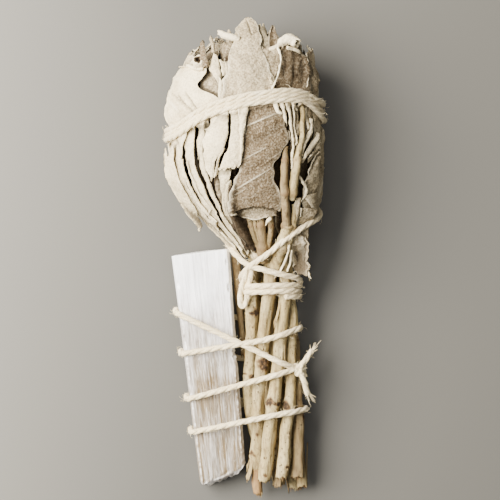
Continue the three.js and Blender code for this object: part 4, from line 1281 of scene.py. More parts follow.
    def lower_left(self) -> None:
        """Lays the long pleated leaves at the left, below the head string."""
        self.place(
            # The first three leaves, of tone near 1, lie low as near-black painted shade in the slits between
            # the pleats.
            Leaf(numbers(
                "226 98 236 96, 224 130 236 128, 217 154 230 156, 214 176 226 178, 218 200 228 200, "
                "229 226 236 223, 249 256 253 253"
            ), -5.4, 0.95, 0.6, step=0.8),
            Leaf(numbers(
                "190 116 204 110, 188 148 204 148, 192 172 207 170, 199 192 212 188, 208 212 220 206, "
                "226 236 234 230, 246 256 251 252"
            ), -4.8, 0.95, 0.6, step=0.8),
            Leaf(numbers(
                "205 116 216 112, 204 136 213 136, 203 156 213 156, 207 176 216 174"
            ), -4.2, 0.9, 0.3, step=0.8),
            Leaf(numbers(
                "211 176 217 174, 212.5 189 219 188, 216.5 203 222.5 201, 221.5 214 226.5 213, "
                "229 227 234 226, 241 244 245.5 242, 253 259 256 257"
            ), -2.4, 0.45, 0.8),
            Leaf(numbers(
                "217 172 231 166, 219.5 186 229.5 179, 221 199 226.5 192, 221 209 225 202, "
                "224.5 221 228 214, 233.5 236 236 228, 245 250.5 247 244, 253 261 255 257"
            ), -1.0, 0.0, 0.7, tilt=0.6),
            Leaf(numbers(
                "226.5 184 232 180, 224.3 197 231.5 195, 226 210 232 209, 231 221.5 237 220, "
                "239 234 245 232, 248 247 252.5 245, 255.5 259 259 257"
            ), -0.1, 0.12, 1.1),
            Leaf(numbers(
                "228.5 202 230.4 202, 229.6 211 231.6 210.6, 234.6 222 236.8 221, 242 234 244.4 232.6, "
                "250 247 252 246"
            ), 0.9, 0.0, 0.5, line=0.5),
            Leaf(numbers(
                "195.5 114 212 106, 195 134 206 130, 193.8 148 200 145, 194 158 196.5 157"
            ), -1.8, 0.03, 0.3),
            Leaf(numbers(
                "204 122 206.6 121, 200.2 143 203.4 144, 197.2 153 202.6 156, 198 166 204.6 166, "
                "203.4 181 208.6 178, 208 194 212 190, 214.6 208 218.6 204, 223.6 223 227.6 219, "
                "234.4 238 238.6 234, 249 256 252 252"
            ), -1.4, 0.0, 0.7, tilt=0.8),
            Leaf(numbers(
                "180 124 195 114, 183.5 150 193.4 141, 185 163 193.4 157, 189.5 178 196.8 171, "
                "194 192 202.2 184, 199 204 207.2 197, 207 215 214.4 209, 223 233 228.6 227, "
                "244 256 248 251"
            ), -0.9, 0.0, 0.4, tilt=1.0),
            Leaf(numbers(
                "167 130 188 120, 168.5 154 183.4 150, 173 171 181.8 166, 179.4 189 186.4 182, "
                "188 205 192.4 197, 199.5 220 202.6 212, 215.6 237 218.6 229, 238 259 241 254"
            ), -0.8, 0.0, 0.5, tilt=0.9,
                creases=numbers(
                    "174 138 180 146 -0.9 0.8, 176 143 174.6 156 -0.9 0.7, 184 130 183 142 0.5 0.9"
                )),
            Leaf(numbers(
                "182.4 160 185 159, 183.2 171 186.6 171, 187.4 183 190.6 183, 192.4 195 195.4 194, "
                "198 205 200.8 203, 206.4 215 209 212, 217.5 227 220 224"
            ), 0.2, 0.0, 0.5, tilt=0.6, line=0.3),
            Leaf(numbers(
                "187.6 162 189.2 161.6, 190.4 175 192.2 174.2, 195.6 188 197.4 187, 202.6 200 204.4 198.6, "
                "211 212 212.6 210.6"
            ), 0.3, 0.0, 0.5, line=0.3),
            Leaf(numbers(
                "200.2 233.6 202.6 230.6, 195 226 203.6 221, 190.5 218.5 198.4 211, 183 207 191 198, "
                "174 192 185 187, 168.5 180 179.6 175, 165.5 164 177 163, 164.5 151 174.6 153"
            ), 0.9, 0.0, 0.5, tilt=0.5, lift=(-1.4, 0), limit=76.0, ragged=1.4,
                rolls=((Side.START, 0.96, 0.5),)),
            Leaf(numbers(
                "212.5 106 228.4 101, 208.8 125 228.4 121, 205.6 134 227.8 134, 203.6 144 225.4 144, "
                "203.3 154 221 154, 205 165 216 163, 209 174 214.6 171, 211.5 179 214 178"
            ), -0.3, 0.0, 0.8, tilt=1.0, ragged=0.6),
            Leaf(numbers(
                "223.2 149 225.2 148.4, 218.6 160 220.8 159, 215.9 169 218.2 168, 215 176 217 175"
            ), 0.3, 0.0, 0.5),
        )

    def lower_middle(self) -> None:
        """Lays the dark middle leaf, the lip under it and the torn strip beside it."""
        self.place(
            # The first three leaves lie low and dark as painted shade under the middle leaf and the lip.
            Leaf(numbers(
                "274 132 292 130, 275 172 290 172, 280 190 292 190, 284 206 294 206"
            ), -5.6, 1.0, 0.3, step=0.8),
            Leaf(numbers(
                "229 186 285 186, 230 205 283 205, 233 222 279 222, 240 238 275 238, 248 250 268 250"
            ), -7.0, 1.0, 0.3, step=0.9),
            Leaf(numbers(
                "232.5 216 247 216, 236.5 224 250 224, 242 234 253 234, 248.5 245 256 244"
            ), -4.6, 0.85, -0.4),
            Leaf(numbers(
                "231.5 211 231.5 214.5, 240 205 240.5 216.5, 248 203 248.5 218.3, 256 202 256 219.3, "
                "264 202 264 217.6, 271 205 271 216.0, 279.5 209 279.5 213.6"
            ), -3.4, 0.36, 0.5, rolls=((Side.RIGHT, 0.84, 0.9),), step=0.5),
            Leaf(numbers(
                "250.5 96 284 95, 246.5 116 285 113, 244.5 128 285.6 124, 243 140 288.5 135, "
                "242 150 289 143.5, 241 160 282 153, 238.5 170 275.5 164, 235 180 273.5 174, "
                "231.8 192 278.5 188, 231 203 282.6 200, 231 213.5 281.4 211.6"
            ), -0.4, 0.46, 0.5, crinkle=0.5, bow=6.0, ragged=0.15, step=0.42,
                creases=numbers(
                    "243 127.5 279 112 0.45 0.75, 241 161 267 147 0.32 0.7, 254 171 284 150 0.26 0.7, "
                    "235 190 271 168.5 0.42 0.8, 232 197 247 188 0.25 0.7, 262 136 286 124 0.2 0.8, "
                    "245 146 282 128 -0.45 4.0, 238 178 272 160 -0.35 4.0, 247 206 272 190 -0.25 4.0"
                )),
            Leaf(numbers(
                "230.8 100 250.5 97, 231.2 122 246.4 119.5, 231 134 244 134.4, 229 146 242.6 147, "
                "225 155 241.8 156, 222 164 241.2 162, 219.3 173 240.8 165.5"
            ), 0.7, 0.0, 0.5, ragged=0.8, rolls=((Side.END, 0.95, 0.7),), step=0.45),
            Leaf(numbers(
                "237.5 99 250.3 96.5, 239.2 121 246.4 119.5, 240 134 244.4 134.4, 240.4 150 242.9 150, "
                "240 163 241.7 162"
            ), 1.1, 0.0, 0.4, line=0.2),
        )
        self.rolls.append(
            Curl(numbers(
                "271.8 218 -1.2 0.7 -150 120, 268.6 220 -0.8 0.9 -160 120, 266.6 223.4 -1.4 0.5 -150 120"
            ), 0.0, 0.4, line=0.4),
        )

    def lower_right(self) -> None:
        """Lays the narrow folded leaves at the right, below the head string."""
        self.place(
            # The first two leaves lie low and dark as painted shade under the folded leaves.
            Leaf(numbers(
                "296 160 310 160, 294 186 306 188, 292 204 304 206, 290 222 302 226, 288 240 298 244"
            ), -5.0, 1.0, 0.5, step=0.8),
            Leaf(numbers(
                "283 96 312 95, 286 116 314 116, 290 136 312 136, 290 152 306 152, 292 160 300 161"
            ), -3.4, 0.8, 0.3, step=0.8),
            Leaf(numbers(
                "291 97 301 96, 292 120 303 120, 292 136 301 136, 292 150 298 150, 292.6 158 296 159"
            ), -2.2, 0.42, 0.5),
            Leaf(numbers(
                "283.2 95 288.8 94, 287 117 291.4 117, 288.9 132 292 132, 290.5 146 293 146, "
                "289.5 157 292.5 157, 289.6 168 291.6 168"
            ), 0.3, 0.1, 0.9, tilt=-0.7),
            Leaf(numbers(
                "289.6 95 293.4 94, 292 118 294.8 117, 292.8 132 295 131, 293.2 146 295.4 146"
            ), 0.2, 0.12, 0.9, line=0.2),
            Leaf(numbers("296.4 98 300.6 97, 297.5 120 300 120, 297.5 133 299.5 133"), -0.9, 0.3, 0.8),
            Leaf(numbers(
                "309 95 321 100, 314 113 323 121, 316 124 323.6 133, 315 134 323.2 146, 311 143 320 154"
            ), -0.6, 0.26, 0.5),
            Leaf(numbers(
                "304 95 311.4 96, 306 114 314 116, 306.5 124 314.5 127, 303.5 134 311 138, "
                "300.5 144 305 147"
            ), -0.4, 0.3, 0.4, 0.6),
            Leaf(numbers(
                "305.6 108 307.4 107.6, 304.8 118 306.8 118.4, 306 128 308 128"
            ), 0.3, 0.0, 0.5, line=0.4),
            Leaf(numbers(
                "308.5 118 312 120, 307.5 128 311 130, 303.6 137 307 140, 300.6 145 303.5 148, "
                "298.9 153 301 156"
            ), 0.4, 0.05, 0.9, line=0.2),
            Leaf(numbers(
                "314.9 132 318.3 135, 312 140 315.4 144, 306.6 148 310.4 151.5, 302 154 305 158, "
                "299.7 161 302 163.5"
            ), 0.5, 0.1, 0.9, line=0.2),
            Leaf(numbers(
                "318 140 321 143, 315.9 148 318.5 151, 310.4 154 313 157.5, 305.7 159.5 308 162.5"
            ), 0.0, 0.3, 0.5),
            Leaf(numbers(
                "317.3 151 320.6 151.5, 313 160 323 160, 309.5 170 324 170, 306 180 324 180, "
                "304.5 190 323 190, 303.5 200 321 201, 304.5 210 317.5 213, 308 218 313.5 220"
            ), 0.0, 0.24, 0.6, crinkle=1.2,
                creases=numbers(
                    "318 155 307 178 -1.1 0.7, 319 160 323 176 -0.7 0.7, 307 178 306 200 -0.9 0.8, "
                    "321 176 318 198 0.5 0.8"
                )),
            Leaf(numbers(
                "302.5 196 316.6 192, 307 204 317 203, 311.6 213 316.5 214"
            ), 0.6, 0.22, 0.3, 0.5, ragged=0.3, creases=numbers("305 199 314 213 0.5 0.6")),
            Leaf(numbers(
                "296.5 198 301 198, 294 209 298.5 211, 291.5 221 295 224, 289 232 291 234"
            ), 0.0, 0.3, 0.9, tilt=0.5),
            Leaf(numbers(
                "300 208 315 210, 298 222 312 222, 297 234 308 234, 296 246 306 246, 296 256 304 257"
            ), -1.0, 0.3, 0.6, 0.8, limit=66.0, crinkle=1.6),
            Leaf(numbers(
                "303 224 308 222, 302 236 307.5 234, 300 248 306 247, 298 258 303.5 259"
            ), 0.4, 0.2, 0.9, limit=62.0),
            Leaf(numbers(
                "293.5 233 300 231, 291 245 305 242, 290.5 256 307 255, 292 266 305.6 267, "
                "295 273 303.6 276.5"
            ), 1.0, 0.28, 0.6, 0.6, crinkle=3.4, limit=54.0, ragged=0.3, rolls=((Side.RIGHT, 0.88, 0.9),),
                step=0.45,
                creases=numbers("298 238 300 262 1.0 1.6, 294 244 296 266 -0.8 1.3, 303 244 303 268 -0.9 1.3")),
            Leaf(numbers(
                "297 267 304.8 262, 295.6 272 305.6 270, 298 275.6 305 277.6"
            ), 2.0, 0.1, 0.3, limit=54.0, crinkle=2.4, ragged=1.0, lift=(0, 1.0), line=0.2),
            Leaf(numbers(
                "286 245 288.2 245, 283.4 255 285.6 256, 280.7 264 282.4 265.5, 278 272 279.6 273"
            ), 2.2, 0.0, 0.5, limit=60.0, line=0.5),
            Leaf(numbers(
                "287.4 250 289.4 250, 286.8 258 288.6 258.4, 285.4 265 287 265.4, 283.8 271 285 271.4"
            ), 2.4, 0.0, 0.5, limit=60.0, line=0.5),
        )
        self.rolls.append(
            Curl(numbers(
                "297.2 175 0.0 0.6 -175 130, 300.6 181 0.8 0.7 -175 130, 303.8 188.5 1.2 0.75 -175 130, "
                "303.2 196 0.8 0.7 -175 130, 300.2 201.6 0.2 0.5 -175 130"
            ), 0.0, 0.3, line=0.5),
        )
        self.rolls.append(
            Curl(numbers(
                "274.5 96 0.6 0.9 -150 120, 275.6 104 1.2 1.1 -150 120, 277.0 110.6 1.2 1.0 -150 130, "
                "280.4 113.6 0.8 0.7 -150 130"
            ), 0.0, 0.5, line=0.5),
        )
        self.rolls.append(
            Curl(numbers(
                "279.4 96 0.6 0.9 -150 130, 281.2 104 1.3 1.1 -150 130, 283.4 112 0.9 0.8 -150 130, "
                "285.6 122 0.4 0.5 -150 130"
            ), 0.05, 0.5, line=0.3),
        )
        self.rolls.append(
            Curl(numbers(
                "290.6 97 0.4 0.8 -150 130, 293.4 104 1.2 1.0 -150 130, 295.4 109.5 0.8 0.6 -150 130"
            ), 0.05, 0.5, line=0.4),
        )

    def tips(self, count: int = 21, reach: float = 14.0) -> None:
        """Fills the open end with rolled leaf tips.

        Args:
            count: how many tips.
            reach: how far they spread from the bundle's middle.
        """
        spin, shape = np.random.default_rng(77), self.shapes["middle_stem"]
        middle_x, middle_z = (float(part) for part in self.skin.section(np.array(82.0))[:2])
        t, s = np.linspace(0, 1, 46)[:, None], np.linspace(-1, 1, 34)[None]
        for number in range(count):
            far, turn = reach * math.sqrt((number + 0.4) / count), number * 2.4
            end = 94.5 - 7.5 * (far / reach) ** 2 + spin.uniform(-3.0, 1.5)
            span, turned, size = (
                spin.uniform(1.6, 3.0), turn + spin.uniform(-0.8, 0.8), spin.uniform(2.7, 3.9),
            )
            roll = turned + s * span
            y = 50 + (end - 50 - spin.uniform(5, 11) * np.abs(s) ** 1.7) * t
            radius = size * (1 - 0.55 * t**5) * (1 - 0.16 * np.abs(s)) * (1 + 0.05 * np.sin(7 * s + number))
            x = middle_x + math.sin(turn) * far * (1.1 - 0.15 * t) + radius * np.sin(roll)
            z = middle_z + math.cos(turn) * far * (0.95 - 0.12 * t) + radius * np.cos(roll)
            points = np.stack([x, y + 0 * x, z], -1)
            away = np.stack([np.sin(roll), 0 * roll, np.cos(roll)], -1) + 0 * points
            points += away * (0.22 * self.crumple(points) + 0.12 * self.pucker(points))[..., None]
            if looks_inwards(points, away):
                points = points[:, ::-1]
            # Painted shade, darker further down each tip from its end.
            deep = np.clip((y.max() - y - 9) / 24, 0, 0.9) + 0 * x
            shape.sheet(
                points, self.THICKNESS, tone=spin.uniform(0.0, 0.5), across=s + 0 * x, line=0.0, deep=deep,
            )

    def build(self, finish: bpy.types.Material) -> dict[str, Shape]:
        """Lays every leaf.

        Args:
            finish: the leaf material.

        Returns:
            The leaves of each stem, by the stem's name.
        """
        self.packed()
        self.sides_and_back()
        self.upper_front()
        self.lower_left()
        self.lower_middle()
        self.lower_right()
        self.shade()
        self.tips()
        for roll in self.rolls:
            self.curl(roll)
        for name, shape in self.shapes.items():
            if not shape.points:
                continue
            made = shape.build(f"{name}_leaves")
            made.data.materials.append(finish)
            dress(made, [name])
        return self.shapes


def dress(piece: bpy.types.Object, replaced: Sequence[str]) -> bpy.types.Object:
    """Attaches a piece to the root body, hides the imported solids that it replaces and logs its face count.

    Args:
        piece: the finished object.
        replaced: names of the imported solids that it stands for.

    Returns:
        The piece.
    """
    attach(piece, "root")
    if replaced:
        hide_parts(*replaced)
    LOG.info("%s: %d faces", piece.name, len(piece.data.polygons))
    return piece


class Grown(Nodes):
    """A geometry tree that is run once on a piece and baked into its mesh."""

    def __init__(self, name: str, inputs: dict[str, float]) -> None:
        """Starts a tree.

        Args:
            name: the tree's name.
            inputs: its named sizes, with their values.
        """
        tree = bpy.data.node_groups.new(name, "GeometryNodeTree")
        super().__init__(tree)
        tree.interface.new_socket("Geometry", in_out="INPUT", socket_type="NodeSocketGeometry")
        tree.interface.new_socket("Geometry", in_out="OUTPUT", socket_type="NodeSocketGeometry")
        self.sizes = inputs
        self.sockets = {}
        for key in inputs:
            made = tree.interface.new_socket(key, in_out="INPUT", socket_type="NodeSocketFloat")
            self.sockets[key] = made
        self.entry = self.add("NodeGroupInput")
        self.exit = self.add("NodeGroupOutput")

    def size(self, name: str) -> Value:
        """One of the named inputs."""
        return Value(self, self.entry.outputs[name])

    def close(self, grown: bpy.types.Node, ground: bpy.types.Node, finish: bpy.types.Material) -> None:
        """Joins two geometries, smooths them, gives them their material and ends the tree."""
        both = self.add("GeometryNodeJoinGeometry")
        self.link(grown.outputs[0], both.inputs[0])
        self.link(ground.outputs[0], both.inputs[0])
        smooth = self.add("GeometryNodeSetShadeSmooth", None, {"Geometry": both.outputs[0]})
        inputs = {"Geometry": smooth.outputs[0], "Material": finish}
        coated = self.add("GeometryNodeSetMaterial", None, inputs)
        self.link(coated.outputs[0], self.exit.inputs[0])

    def run(self, piece: bpy.types.Object, finish: bpy.types.Material) -> bpy.types.Object:
        """Runs the tree on a mesh object and keeps the result as its mesh.

        Args:
            piece: the object.
            finish: the material of the result.

        Returns:
            The same object, with a plain mesh.
        """
        modifier = piece.modifiers.new("grown", "NODES")
        modifier.node_group = self.tree
        for key, socket in self.sockets.items():
            modifier[socket.identifier] = float(self.sizes[key])
        piece.data.materials.append(finish)
        ready = piece.evaluated_get(bpy.context.evaluated_depsgraph_get())
        made = bpy.data.meshes.new_from_object(ready)
        piece.modifiers.remove(modifier)
        old, piece.data = piece.data, made
        bpy.data.meshes.remove(old)
        made.name = piece.name
        if not made.materials:
            made.materials.append(finish)
        return piece


@dataclass(frozen=True)
class StemPlan:
    """One stem: its bare length and how it goes on into the head.

    Attributes:
        rows: [y, x, z, radius] from the cut end up to the neck.
        head: [y, angle] up through the head.
        tone: 0 for straw-coloured, 1 for brown bark.
        rings: heights of the rings where leaves grew.
        scars: [y, angle, size] of each leaf scar.
        flakes: [first y, last y, first angle, last angle, how far it stands off] of peeling bark.
        peeled: height under which the bark is gone.
    """

    rows: Rows
    head: Rows
    tone: float = 0.1
    rings: tuple[float, ...] = ()
    scars: tuple[tuple[float, float, float], ...] = ()
    flakes: tuple[tuple[float, ...], ...] = ()
    peeled: float = -200.0


@dataclass
class Stems:
    """The nine cut stems and the thin shoots that show on the head."""

    skin: Skin
    finish: bpy.types.Material
    sides: int = 30
    step: float = 0.75
    depth: tuple[tuple[float, float], ...] = numbers("-16 2.6, -8 3.8, 0 6.6, 8 8.6, 17 10.2, 80 10.2")
    plans: dict[str, StemPlan] = field(
        default_factory=lambda: {
            "stem_front": StemPlan(numbers(
                "-103 5.6 9.6 2.7, -97 4.9 10.8 3.0, -93 4.8 11.8 2.6, -85 4.8 13.5 2.5, "
                "-63.7 5.7 18.3 2.53, -42 7.3 22.5 2.56, -28 8.6 24.9 2.58, -16 9.7 26.6 2.59"
            ), numbers("-10 -3, 0 -1, 17 0, 80 0"), 0.2, (-86.3, -70.0, -46.4, -19.0),
                numbers("-46.6 26 1.9, -48.6 8 1.4, -49.5 38 1.2, -77.5 -6 0.8, -85.0 -50 1.0"),
                numbers("-88.0 -96.5 -80 -30 1.6, -90.5 -94.5 30 100 1.0, -86.0 -92.0 -120 -80 1.2"), -91.8),
            "stem_right_front": StemPlan(numbers(
                "-97 8.2 15.3 2.8, -85 9.3 17.7 2.8, -63.7 11.9 21.1 2.68, -42 14.4 23.4 2.56, "
                "-28 15.8 24.4 2.49, -16 16.6 25 2.42"
            ), numbers("-10 46, 0 46, 17 45, 80 45"), 0.0, (-64.5, -36.5),
                numbers("-63.4 -38 2.0, -64.4 42 0.9, -94.5 4 0.8, -87.0 -20 0.5"),
                numbers("-22.0 -31.5 -62 -34 1.5, -40.0 -47.0 50 74 0.5")),
            "stem_right": StemPlan(numbers(
                "-95.5 15.4 17.3 2.6, -85 16.6 18.3 2.59, -63.7 18.6 19.7 2.28, -42 19.7 20.3 1.99, "
                "-28 19.8 20.5 1.97, -16 19.4 20.6 1.92"
            ), numbers("-10 88, 0 89, 17 90, 80 90"), 0.0, (-64.8, -41.0),
                numbers("-64.6 -52 1.7, -66.0 -20 1.2, -76.5 24 0.7, -78.6 30 0.6, -91.0 34 0.9")),
            # Its dark tone of 0.8 is painted shade, where it lies in shadow at the right of the bundle.
            "stem_right_back": StemPlan(numbers(
                "-95.5 22 14.6 2.5, -85 22.4 14.9 2.49, -63.7 22.2 15.3 2.21, -42 20.9 15.6 1.95, "
                "-28 19.5 15.9 1.95, -16 18.1 16.2 1.92"
            ), numbers("-10 127, 0 130, 17 135, 80 135"), 0.8, (-70.0, -38.0), numbers("-70.3 60 0.9")),
            "stem_back_right": StemPlan(numbers(
                "-100 24.1 8.1 2.2, -85 22.9 8.7 2.2, -63.7 20.4 9.7 2.14, -42 17.5 11.2 2.08, "
                "-28 15.5 12.3 2.04, -16 13.7 13.5 2.01"
            ), numbers("-10 166, 0 172, 17 180, 80 180"), 0.3, (-58.0,), numbers("-58.5 80 1.0"),
                numbers("-99.5 -82.0 62 104 1.4")),
            "stem_back": StemPlan(numbers(
                "-101 21 2.5 2.5, -85 18.8 4.9 2.5, -63.7 15.5 7.2 2.38, -42 12.2 9.7 2.26, "
                "-28 10.1 11.6 2.19, -16 8.5 13.4 2.12"
            ), numbers("-10 204, 0 211, 17 225, 80 225"), 0.15, (-74.0, -43.0),
                numbers("-74.2 190 1.1, -43.5 150 0.9")),
            "stem_back_left": StemPlan(numbers(
                "-98 14.2 2.6 2.6, -85 12.3 4.3 2.6, -63.7 9.5 7.5 2.45, -42 6.9 11.1 2.31, "
                "-28 5.4 13.5 2.21, -16 4.3 15.7 2.13"
            ), numbers("-10 238, 0 248, 17 270, 80 270"), 0.25, (-66.0, -35.0), numbers("-66.3 210 1.1")),
            "stem_left": StemPlan(numbers(
                "-94 7 5.6 2.3, -85 5.9 7.3 2.3, -63.7 1.7 11.3 2.36, -42 2.5 15.5 2.42, "
                "-28 2.8 18.3 2.46, -16 2.5 20.6 2.49"
            ), numbers("-10 281, 0 294, 10 309, 17 315, 80 315"), 0.02, (-37.4, -53.0, -26.5),
                numbers("-26.0 38 2.0, -53.4 20 1.0, -18.0 -40 0.9")),
            "middle_stem": StemPlan(numbers(
                "-99 14.4 9.7 2.7, -85 14.2 11.4 2.7, -63.7 13.2 14.2 2.6, -42 12.2 17.4 2.5, "
                "-28 11.4 18.9 2.4, -16 10.8 20.2 2.3, 0 10.4 21.8 2.2, 17 4.6 24.0 2.0, 30 1.0 25.6 2.0"
            ), (), 0.55, (-80.0,), numbers("-81.0 20 1.0"),
                numbers("-92.0 -99.5 -40 20 1.6, -91.0 -101.0 60 100 1.2")),
        },
    )
    shoots: tuple[tuple[float, Rows], ...] = (
        (
            0.7,
            numbers(
                "258 254 -2.6 1.5, 255.6 247 -2.4 1.3, 252.4 236 -2.6 1.2, 249.4 226 -3.2 1.1, "
                "247 218 -4.2 1.0, 245 206 -5.6 0.9"
            ),
        ),
        (
            0.5,
            numbers(
                "259.6 252 -2.2 1.1, 258 240 -2.2 0.8, 255.4 229 -2.9 0.75, 253.2 219 -4.0 0.7, "
                "252 206 -5.6 0.7"
            ),
        ),
        (
            0.85,
            numbers(
                "261 262 -1.6 2.5, 261 252 -1.5 2.4, 262 246 -1.6 2.0, 261.8 236 -2.2 1.8, "
                "261.2 226 -2.9 1.7, 260.8 221 -4.4 1.6, 260.6 215 -6.0 1.5, 260 204 -8.0 1.3"
            ),
        ),
        (
            0.65,
            numbers(
                "265 254 -2.8 1.3, 268.4 244 -2.4 1.2, 271.4 233 -2.6 1.1, 273 223 -3.4 1.0, "
                "273.6 206 -5.4 0.8"
            ),
        ),
        (
            0.1,
            numbers(
                "276 268 -2.0 2.6, 279.5 256 -1.6 2.6, 283.4 242 -0.8 2.5, 286.8 230 0.1 2.2, "
                "287.6 224 0.2 1.9"
            ),
        ),
        (
            0.85,
            numbers(
                "287.2 232 -0.2 1.9, 286.6 216 -0.2 1.8, 285.4 200 -0.2 1.7, 284.4 184 -0.1 1.65, "
                "284.4 170 0.0 1.5, 285.6 158 -0.3 1.2, 288.2 146 -1.6 0.9"
            ),
        ),
        (
            0.0,
            numbers(
                "292.6 199 -0.6 1.5, 292.6 190 0.5 1.75, 293.2 178 1.1 1.85, 294.4 165 1.3 1.75, "
                "296.8 152 1.3 1.5, 299 140 1.2 1.25, 300.6 128 1.0 1.1, 301.8 116 0.8 1.0, "
                "302.8 100 0.0 0.9"
            ),
        ),
        (
            0.2,
            numbers(
                "286 250 0.2 1.5, 289.6 238 0.4 1.5, 292.4 226 0.2 1.4, 294.6 214 -0.2 1.2, "
                "296 204 -1.2 1.0"
            ),
        ),
    )

    twig: Rows = numbers(
        "-44 -0.9 9.0 1.0, -30 -1.5 12.0 1.4, -17 -2.8 15.0 1.7, -5 -3.8 18.0 1.8, 2 -3.6 20.0 1.6"
    )

    def line(self, plan: StemPlan) -> np.ndarray:
        """Rows of [y, x, z, radius] for a stem, on into the head."""
        rows = [list(row) for row in plan.rows if row[0] < -17 or not plan.head]
        radius = plan.rows[-1][3]
        for y in (-16, -8, 0, 8, 17, 28) if plan.head else ():
            angle = smooth_table(plan.head, np.array([y]))[0]
            depth = smooth_table(self.depth, np.array([y]))[0]
            x, _, z = self.skin.point(angle, np.array([float(y)]), -depth)[0]
            rows.append([y, x, z, radius + (1.3 - radius) * min(1, (y + 16) / 44)])
        return np.array(rows)

    def stem(self, shape: Shape, plan: StemPlan, seed: int) -> None:
        """Adds one stem to a mesh.

        Args:
            shape: the mesh.
            plan: the stem.
            seed: what its bark starts from.
        """
        table = self.line(plan)
        draw = np.random.default_rng(seed)
        y = np.arange(table[0, 0], table[-1, 0], self.step)
        x, z, radius = smooth_table(table, y).T
        sway = Ripple(seed + 1, 24.0, 5, 1)
        rock = Ripple(seed + 2, 19.0, 5, 1)
        x = x + 0.12 * sway(y[:, None])
        z = z + 0.12 * rock(y[:, None])
        turn = np.linspace(0, 2 * math.pi, self.sides, endpoint=False)
        grid_y, grid_t = y[:, None] + 0 * turn, turn + 0 * y[:, None]
        bark = Ripple(seed + 3, 2.2, 12)
        grooves = Ripple(seed + 4, 1.1, 12)
        round_way = np.stack([np.cos(grid_t) * 2.5, grid_y * 0.22, np.sin(grid_t) * 2.5], -1)
        fine_way = np.stack([np.cos(grid_t) * 2.5, grid_y * 0.10, np.sin(grid_t) * 2.5], -1)
        swell = 1 + 0.035 * bark(round_way) + 0.026 * grooves(fine_way) + 0.03 * sway(y[:, None] * 2)[:, None]
        scar = 0 * grid_y
        for ring in plan.rings:
            off = grid_y - ring - 0.5 * np.sin(grid_t + draw.uniform(0, 6))
            swell += 0.13 * np.exp(-((off / 1.5) ** 2)) - 0.09 * np.exp(-(((off - 0.5) / 0.35) ** 2))
            scar += 0.5 * np.exp(-(((off - 0.5) / 0.4) ** 2)) * (0.6 + 0.4 * bark(round_way))
        for at, angle, size in plan.scars:
            away = (grid_t - math.radians(angle) + math.pi) % (2 * math.pi) - math.pi
            far = ((grid_y - at) / (size * 0.95)) ** 2 + (away * 2.5 / size) ** 2
            swell += 0.17 * size * np.exp(-far * 0.7) - 0.24 * size * np.exp(-far * 2.6)
            scar += np.exp(-far * 1.1) * (0.75 + 0.25 * grooves(round_way * 2))
        bare = np.clip((plan.peeled - grid_y) / 0.8, 0, 1)
        swell *= 1 - 0.3 * bare
        inner = 0.75 * bare
        size = radius[:, None] * swell
        rings = np.stack([x[:, None] + size * np.sin(grid_t), grid_y, z[:, None] + size * np.cos(grid_t)], -1)
        jag = 0.35 * grooves(np.stack([np.cos(turn) * 2, np.sin(turn) * 2, 0 * turn], -1))
        jag = jag + 0.25 * np.sin(turn + draw.uniform(0, 6))
        rings[0, :, 1] += jag
        caps, marks = [], []
        for share, sink in ((0.12, 0.5), (0.35, 0.35), (0.62, 0.25), (0.84, 0.12), (0.96, 0.02)):
            middle = np.array([x[0], 0, z[0]])
            cap = middle + (rings[0] - middle) * np.array([share, 0, share])
            end = rings[0, :, 1]
            cap[:, 1] = end.mean() * (1 - share) + end * share + sink + 0.1 * grooves(cap)
            caps.append(cap)
            marks.append(1.0 if share < 0.9 else 0.5)
        everything = np.concatenate([caps, rings])
        cut = np.concatenate([np.repeat(np.array(marks)[:, None], self.sides, 1), inner])
        scar = np.concatenate([
            np.where(np.arange(5)[:, None] < 1, 0.7, 0.05) + np.zeros((5, self.sides)), np.clip(scar, 0, 1),
        ])
        everything[..., 2] = np.maximum(everything[..., 2], FLOOR_GAP)
        shape.tube(everything[:, ::-1], tone=plan.tone, scar=scar[:, ::-1], cut=cut[:, ::-1])
        for first, last, low, high, flare in plan.flakes:
            self.flake(shape, table, first, last, low, high, flare, plan.tone, draw)
        self.splinters(shape, table, plan.tone, draw)

    def flake(
        self,
        shape: Shape,
        table: np.ndarray,
        first: float,
        last: float,
        low: float,
        high: float,
        flare: float,
        tone: float,
        draw: np.random.Generator,
    ) -> None:
        """Adds a strip of bark that peels off a stem.

        Args:
            shape: the mesh.
            table: rows of [y, x, z, radius] of the stem.
            first: height where the strip is still attached.
            last: height of its loose end.
            low: its first angle, in degrees.
            high: its last angle.
            flare: how far its loose end stands off.
            tone: the stem's tone.
            draw: where its raggedness comes from.
        """
        share, v = np.linspace(0, 1, 14)[:, None], np.linspace(-1, 1, 9)
        y = first + (last - first) * share + 0 * v
        narrow = 1 - 0.55 * share**2
        angle = np.radians((low + high) / 2 + (high - low) / 2 * v * narrow)
        x, z, radius = np.moveaxis(smooth_table(table, y), -1, 0)
        torn = Ripple(fresh_seed(draw), 0.9, 6, 1)(v[:, None])
        y = y + np.sign(last - first) * 0.9 * torn * share**3
        size = radius * 1.03 + flare * share**1.6 + 0.15 + 0.2 * np.abs(v) ** 2 * share
        points = np.stack([x + size * np.sin(angle), y, z + size * np.cos(angle)], -1)
        points[..., 2] = np.maximum(points[..., 2], 0.4)
        if last > first:
            points = points[:, ::-1]
        shape.sheet(points[:, ::-1], 0.28, tone=min(1.0, tone + 0.25), scar=0.0, cut=0.25)

